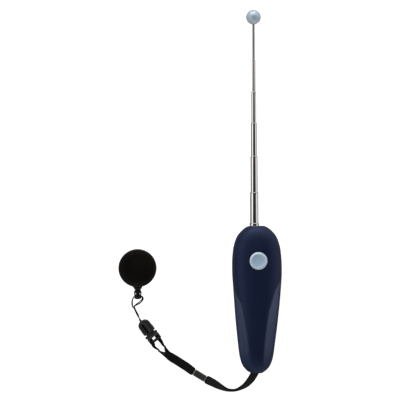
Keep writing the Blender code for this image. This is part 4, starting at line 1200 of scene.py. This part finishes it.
step = 0.24 if FINE else 0.8
START_UP = [[-0.2, PIN_Y + 0.4, 14.3, 0, 6.0, 0.0], [-0.25, PIN_Y - 2.6, 13.6, 0, 6.0, 0.0]]
START_LOW = [[-0.2, PIN_Y + 0.4, 9.7, 0, 6.0, 0.0], [-0.25, PIN_Y - 2.6, 10.4, 0, 6.0, 0.0]]
up_frames = bulge(run_frames(1, LEG_UP, START_UP, step))
low_frames = bulge(run_frames(-1, LEG_LOW, START_LOW, step))
web_up = webbing("webbing_upper", up_frames, WEB)
web_low = webbing("webbing_lower", low_frames, WEB)
piece(web_up, "handle", "strap_run_upper", slot="black_webbing")
piece(web_low, "handle", "strap_run_lower", slot="black_webbing")

# ------------------------------------------------------------- crimp ferrule
c0, c1 = Vector((-43.3, -67.5, 1.9)), Vector((-52.6, -61.8, 1.9))
cdir = (c1 - c0).normalized()
cside = cdir.cross(Vector((0, 0, 1)))
cup = Vector((0, 0, 1))
clen = (c1 - c0).length + 0.5


def crimp_ring(s, hx, hz, r):
    o = c0 + cdir * (s - 0.25)
    return [o + cside * u + cup * v for u, v in rounded_rect(hx, hz, r, 8)]


stations = [(0.0, 2.63, 1.62, 0.7), (0.06, 2.82, 1.76, 0.8), (0.22, 2.90, 1.85, 0.8),
            (0.46, 2.90, 1.85, 0.8), (0.68, 2.82, 1.78, 0.8), (0.85, 2.78, 1.72, 0.8)]
rings = [crimp_ring(*s) for s in stations]
n_mid = 26
for k in range(1, n_mid):
    s = 0.85 + (clen - 1.7) * k / n_mid
    # two rows of press marks across the sleeve
    d = 0.0
    for c in (0.36, 0.64):
        d += 0.12 * max(0.0, 1 - ((s / clen - c) / 0.055) ** 2)
    rings.append(crimp_ring(s, 2.78 - d * 0.2, 1.72 - d, 0.8))
rings += [crimp_ring(clen - s, hx, hz, r) for s, hx, hz, r in stations[::-1]]
rings += [crimp_ring(clen - 0.05, 2.5, 1.55, 0.6), crimp_ring(0.05, 2.5, 1.55, 0.6)]
crimp = loft("crimp", rings, CRIMP, 50, caps=False)
crimp.data.materials.append(CRIMP_RIM)
for f in crimp.data.polygons:
    s = (f.center / MM - c0).dot(cdir) + 0.25
    if s < 0.62 or s > clen - 0.62:
        f.material_index = 1
piece(crimp, "handle", "strap_crimp", slot="dark_metal")


# -------------------------------------------------------------------- buckle
def bslab(name, outline, z0, z1, material=None, r=0.3, corner=0.0, steps=3, r_low=None):
    outline = [(s, l * WIDE) for s, l in outline]
    return slab(name, outline, z0, z1, material, r, BA, (0, 0, 1), BD, steps, corner,
                r_low=r_low)


def bbox(s0, s1, l0, l1, z0, z1, r=0.0, corner=0.0):
    return bslab("tool", [(s0, l0), (s1, l0), (s1, l1), (s0, l1)], z0, z1, None, r, corner)


end = []
for k in range(25):
    a = pi / 2 + pi * k / 24
    end.append((4.5 + 4.6 * cos(a), 4.95 * sin(a)))
socket = bslab("buckle_female", end + [(12.3, -5.0), (12.3, 5.0)], 0.5, 5.3, BUCKLE_BLACK, 0.9,
               steps=5)
# a raised band beside the slot, and a grip ledge at each side
cut(socket, [
    bbox(2.6, 12.1, 0.35, 1.75, 4.6, 5.62, 0.25, 0.4),
    bbox(7.6, 11.6, 3.4, 5.15, 1.2, 4.6, 0.3, 0.4),
    bbox(7.6, 11.6, -5.15, -3.4, 1.2, 4.6, 0.3, 0.4),
], "UNION")
cut(socket, [
    bbox(2.2, 13.0, -3.9, 3.9, 1.5, 4.3),
    bbox(3.2, 13.0, -2.05, -0.2, 3.5, 6.4),
    bbox(3.6, 12.0, -3.9, -3.1, 4.7, 6.4),
    bbox(2.8, 12.0, 2.75, 3.2, 4.75, 6.4),
    rod("cutter", 1.15, at_buckle(-1.0, -0.3, 2.9), at_buckle(3.0, -0.3, 2.9), 24),
])
bevel(socket, 0.12, 2, 50)
piece(socket, "socket", "buckle_socket", slot="black_plastic")
outline = [(2.8, 3.1), (4.2, 3.5), (13.2, 3.6), (13.5, 5.35), (15.0, 5.35), (15.6, 4.9),
           (16.4, 4.95), (21.1, 4.95), (21.1, -4.95), (16.4, -4.95), (15.6, -4.9),
           (15.0, -5.6), (13.5, -5.6), (13.2, -3.6), (4.2, -3.5), (2.8, -3.1),
           (2.8, -2.0), (11.6, -1.8), (11.6, -1.1), (5.2, -0.9), (5.2, 0.9), (11.6, 1.1),
           (11.6, 1.8), (2.8, 2.0)]
plug = bslab("buckle_male", outline, 1.85, 3.95, BUCKLE_BLACK, 0.2)
cut(plug, [bslab("tool", [(15.8, -5.15), (21.3, -5.15), (21.3, 5.15), (15.8, 5.15)], 0.5, 5.3, None,
                 0.5, 0.9)], "UNION")
cut(plug, [
    bbox(4.0, 12.2, -2.1, 1.4, 2.6, 5.0),
    bbox(17.05, 19.15, -4.3, 4.3, -1.0, 7.0, 0, 0.5),
    bbox(18.9, 22.0, -4.9, 4.9, 3.85, 7.0),
    bbox(18.9, 22.0, -4.9, 4.9, -1.0, 1.75),
])
bevel(plug, 0.12, 2, 50)
piece(plug, "handle", "buckle_plug", slot="black_plastic")

# ----------------------------------------------------------- string and bead
string_rows = [
    (*at_buckle(1.6, -0.75, 2.8),), (*at_buckle(-0.8, -0.75, 2.9),),
    (-99.62, -13.4, 4.1), (-101.66, -9.15, 5.4), (-102.85, -5.9, 6.9),
    (-101.4, -4.6, 8.0), (-97.9, -2.6, 9.3), (-95.4, 0.6, 10.2), (-96.3, 3.0, 10.9),
    (-98.2, 3.35, 10.9), (-101.2, 3.35, 10.9), (-103.3, 2.5, 10.9), (-104.4, -0.4, 10.2),
    (-104.5, -3.4, 8.9), (-104.3, -5.6, 7.9), (-103.6, -6.7, 7.1), (-104.5, -5.9, 6.2),
    (-105.0, -3.2, 7.4), (-104.6, -0.2, 8.9), (-103.5, 2.3, 10.0),
    (-101.2, 3.35, 10.0), (-98.2, 3.35, 10.0), (-96.6, 2.5, 9.6), (-96.4, 0.4, 8.9),
    (-99.1, -2.2, 7.8), (-102.1, -4.4, 7.0), (-103.35, -6.2, 5.9), (-102.22, -9.6, 4.9),
    (-100.25, -13.8, 3.7), (*at_buckle(-0.9, 0.05, 2.6),), (*at_buckle(1.6, 0.05, 2.6),),
]


def twisted(name, path, dia, material, lay_mm=2.2, strands=3, around=18):
    """A round cord laid up of strands: the section has lobes that turn as it runs."""
    pts = [Vector(p) for p in path]
    n = len(pts)
    tans = [(pts[min(i + 1, n - 1)] - pts[max(i - 1, 0)]).normalized() for i in range(n)]
    nrm = tans[0].orthogonal().normalized()
    rings, ridge_lights, s = [], [], 0.0
    for i, p in enumerate(pts):
        if i:
            s += (p - pts[i - 1]).length
            nrm = (nrm - tans[i] * nrm.dot(tans[i])).normalized()
        bi = tans[i].cross(nrm)
        ring = []
        for k in range(around):
            a = 2 * pi * k / around
            q = abs(cos(strands / 2 * (a - 2 * pi * s / lay_mm / 1.0)))
            r = dia / 2 * (0.80 + 0.22 * q)
            ring.append(p + nrm * (r * cos(a)) + bi * (r * sin(a)))
            ridge_lights.append(q)
        rings.append(ring)
    ob = loft(name, rings, material, 80)
    # painted shade between the strands: darker where the section dips
    att = ob.data.attributes.new("lift", "FLOAT", "POINT")
    att.data.foreach_set("value", np.array(ridge_lights, np.float32))
    return ob


string_path = [p[:3] for p in spline([list(r) for r in string_rows], 0.16 if FINE else 0.5)]
string = twisted("string_loop", string_path, STRING_D * 1.36, CORD)
piece(string, "socket", "lanyard_string", slot="black_cord")

BEAD_Z = 10.9
bead = lathe("pull_bead",
             [(0, 8.48), (2.45, 8.48), (2.65, 8.1), (3.0, 7.5), (3.2, 6.4), (3.2, 2.4),
              (2.8, 1.4), (1.8, 0.7), (0, 0.5)],
             (NECK_X, 0, BEAD_Z), (0, 1, 0), SIDE, 64, BLACK, 0.5, 5)
mouth = []
for x, g in ((-5.0, 0.55), (-3.0, 0.5), (-2.7, 0.22), (-2.3, 0.03), (-1.8, 0.0), (1.8, 0.0),
             (2.3, 0.03), (2.7, 0.22), (3.0, 0.5), (5.0, 0.55)):
    mouth.append([(NECK_X + x, 3.3 + v, BEAD_Z - 0.45 + u) for u, v in
                  rounded_rect(1.35 + g, 1.1 + g, 0.6 + g * 0.6, 5)])
cut(bead, [loft("cutter", mouth, None),
           lathe("cutter", [(0, -4), (0.62, -4), (0.42, -2.6), (0.42, 2.6), (0.62, 4), (0, 4)],
                 (NECK_X - 1.85, 5.3, BEAD_Z), (0, 0, 1), SIDE, 24, None),
           lathe("cutter", [(0, -4), (0.62, -4), (0.42, -2.6), (0.42, 2.6), (0.62, 4), (0, 4)],
                 (NECK_X + 1.85, 5.3, BEAD_Z), (0, 0, 1), SIDE, 24, None),
           lathe("cutter", [(0, 5.4), (0.7, 5.4), (0.7, 8.2), (0.9, 8.4), (0.9, 9.0), (0, 9.0)],
                 (NECK_X, 0, BEAD_Z), (0, 1, 0), SIDE, 24, None)])
piece(bead, "socket", "pull_cord_end", slot="black_plastic")

pull = twisted("pull_line", [(NECK_X, 5.8 + 11.8 * k / 90, BEAD_Z) for k in range(91)], 0.78,
               CORD, 2.0)
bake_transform(pull)
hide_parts("pull_cord")

# ---------------------------------------------------------------------- reel
rx, ry = REEL
z0, z1 = REEL_Z0, REEL_Z1
SPLIT = 14.0


def reel_turned(name, profile, material, n=96, radius=0.0, steps=3, wave=None, sharp=38.0):
    return lathe(name, profile, (rx, ry, 0), (0, 0, 1), SIDE, n, material, radius, steps,
                 sharp, wave)


backc = reel_turned("reel_back", [
    (1.8, z0), (14.6, z0), (15.6, z0 + 0.5), (REEL_R, z0 + 1.4), (REEL_R, SPLIT - 0.15),
    (14.7, SPLIT - 0.15), (14.7, z0 + 1.5), (3.0, z0 + 1.5), (1.8, z0 + 1.5)], BLACK, 128,
    0.22, 3)
neck = lathe("neck", [(0, 12.6), (4.4, 12.6), (4.2, 11.2), (3.2, 9.8), (2.5, 8.6), (0, 8.6)],
             (NECK_X, 0, 10.9), (0, 1, 0), SIDE, 48, None, 0.35, 4)
cut(neck, [rod("cutter", 14.9, (rx, ry, 3), (rx, ry, 18), 128),
           box("cutter", (NECK_X - 8, 5, z0 - 6.0), (NECK_X + 8, 20, z0 + 0.1)),
           box("cutter", (NECK_X - 8, 5, SPLIT - 0.15), (NECK_X + 8, 20, SPLIT + 5))])
cut(backc, [neck], "UNION")
cut(backc, [lathe("cutter", [(0, 7.0), (1.5, 7.0), (1.35, 8.6), (1.1, 8.85), (1.0, 9.2),
                             (1.0, 14.0), (0, 14.0)],
                  (NECK_X, 0, BEAD_Z), (0, 1, 0), SIDE, 32, None)])
piece(backc, "reel", "reel_back_cover", slot="black_plastic")
frontc = reel_turned("reel_front", [
    (0, SPLIT + 1.1), (14.7, SPLIT + 1.1), (14.7, SPLIT + 0.15), (REEL_R, SPLIT + 0.15),
    (REEL_R, z1 - 1.1), (15.7, z1 - 0.4), (15.0, z1), (13.4, z1), (13.2, z1 - 0.55),
    (0, z1 - 0.55)], BLACK, 128, 0.2, 3)
piece(frontc, "reel", "reel_front_cover", slot="black_plastic")
label = reel_turned("face_label", [(0, z1 - 0.25), (12.9, z1 - 0.25), (12.9, z1 - 0.1),
                                   (12.75, z1 + 0.0), (12.0, z1 + 0.06), (9.0, z1 + 0.13),
                                   (4.5, z1 + 0.18), (0, z1 + 0.2)], LABEL, 128)
piece(label, "reel", "reel_label", slot="label_film")

spool = reel_turned("cord_spool", [
    (1.9, 8.9), (10.9, 8.9), (10.9, 9.5), (7.6, 9.5), (7.6, 13.1), (10.9, 13.1),
    (10.9, 13.7), (6.9, 13.7), (6.9, 9.9), (1.9, 9.9)], WHITE, 96, 0.12, 2)
piece(spool, "spool", "reel_spool", slot="white_plastic")
prof = [(7.9, 9.8), (7.9, 12.8)]
turns = 5
for k in range(turns):
    zc = 12.8 - 3.0 * (k + 0.5) / turns
    for j in range(7):
        a = pi / 2 - pi * j / 6
        prof.append((8.6 + 0.3 * cos(a), zc + 0.285 * sin(a)))
wound = reel_turned("wound_line", prof, CORD, 96, sharp=60)
piece(wound, "spool", "reel_wound_cord", slot="black_cord")

rings = []
n = 260 if FINE else 90
for k in range(n + 1):
    a = 2 * pi * 3.5 * k / n
    r = 2.5 + 3.9 * k / n
    rings.append([(rx + (r + dr) * cos(a), ry + (r + dr) * sin(a), zz) for dr, zz in
                  ((-0.11, 10.42), (0.0, 10.4), (0.11, 10.42), (0.12, 10.5), (0.12, 12.9),
                   (0.11, 12.98), (0.0, 13.0), (-0.11, 12.98), (-0.12, 12.9), (-0.12, 10.5))])
spring = loft("return_spring", rings, STEEL, 60)
piece(spring, "reel", "reel_power_spring", slot="spring_steel")
axle = reel_turned("spool_axle", [(0, 8.55), (2.6, 8.55), (2.6, 8.75), (1.6, 8.75), (1.6, 14.8),
                                  (0, 14.8)], BLACK, 32, 0.08, 2)
piece(axle, "reel", "reel_axle", slot="black_plastic")

# belt clip: bent strip with rounded ends
CLIP_W = 9.0
path = [(-4.5 + 15.7 * k / 24, 6.1) for k in range(25)]
for k in range(1, 20):
    a = pi / 2 - pi * k / 20
    path.append((11.2 + 2.85 * cos(a), 3.25 + 2.85 * sin(a)))
path += [(11.2 - 24.6 * k / 60, 0.4) for k in range(61)]
rings = []
for i, (y, z) in enumerate(path):
    a, b = path[max(i - 1, 0)], path[min(i + 1, len(path) - 1)]
    ty, tz = b[0] - a[0], b[1] - a[1]
    l = hypot(ty, tz)
    ny, nz = -tz / l, ty / l
    hw = CLIP_W / 2
    for e in ((y + 4.5) if z > 5.9 else 99, (y + 13.4) if z < 0.6 else 99):
        if e < 3.4:
            hw = CLIP_W / 2 - 3.4 + sqrt(max(0.0, 3.4 ** 2 - (3.4 - max(e, 0.02)) ** 2))
    hw = max(hw, 1.0)
    ring = []
    prof = []
    for k in range(17):
        prof.append((-1 + 2 * k / 16, 0.4))
    for u, h in prof:
        x = u * (hw - 0.12)
        ring.append((rx + x, ry + y + ny * h, z + nz * h))
    for k in range(1, 5):
        an = pi / 2 - pi * k / 5
        x = hw - 0.12 + 0.12 * cos(an)
        h = 0.4 * sin(an)
        ring.append((rx + x, ry + y + ny * h, z + nz * h))
    for u, h in prof[::-1]:
        x = u * (hw - 0.12)
        ring.append((rx + x, ry + y - ny * h, z - nz * h))
    for k in range(1, 5):
        an = -pi / 2 - pi * k / 5
        x = -(hw - 0.12) + 0.12 * cos(an)
        h = 0.4 * sin(an)
        ring.append((rx + x, ry + y + ny * h, z + nz * h))
    rings.append(ring)
clip = loft("clip_strip", rings, STEEL, 50)
cut(clip, [rod("cutter", 1.75, (rx, ry, 5.0), (rx, ry, 7.4), 32)])
piece(clip, "clip", "belt_clip", slot="spring_steel")
rivet = reel_turned("clip_pin", [(0, 5.15), (1.4, 5.15), (2.2, 5.2), (2.6, 5.32), (2.7, 5.45),
                                 (1.45, 5.45), (1.45, 8.25), (0, 8.25)], STEEL, 40)
piece(rivet, "reel", "clip_rivet", slot="spring_steel")
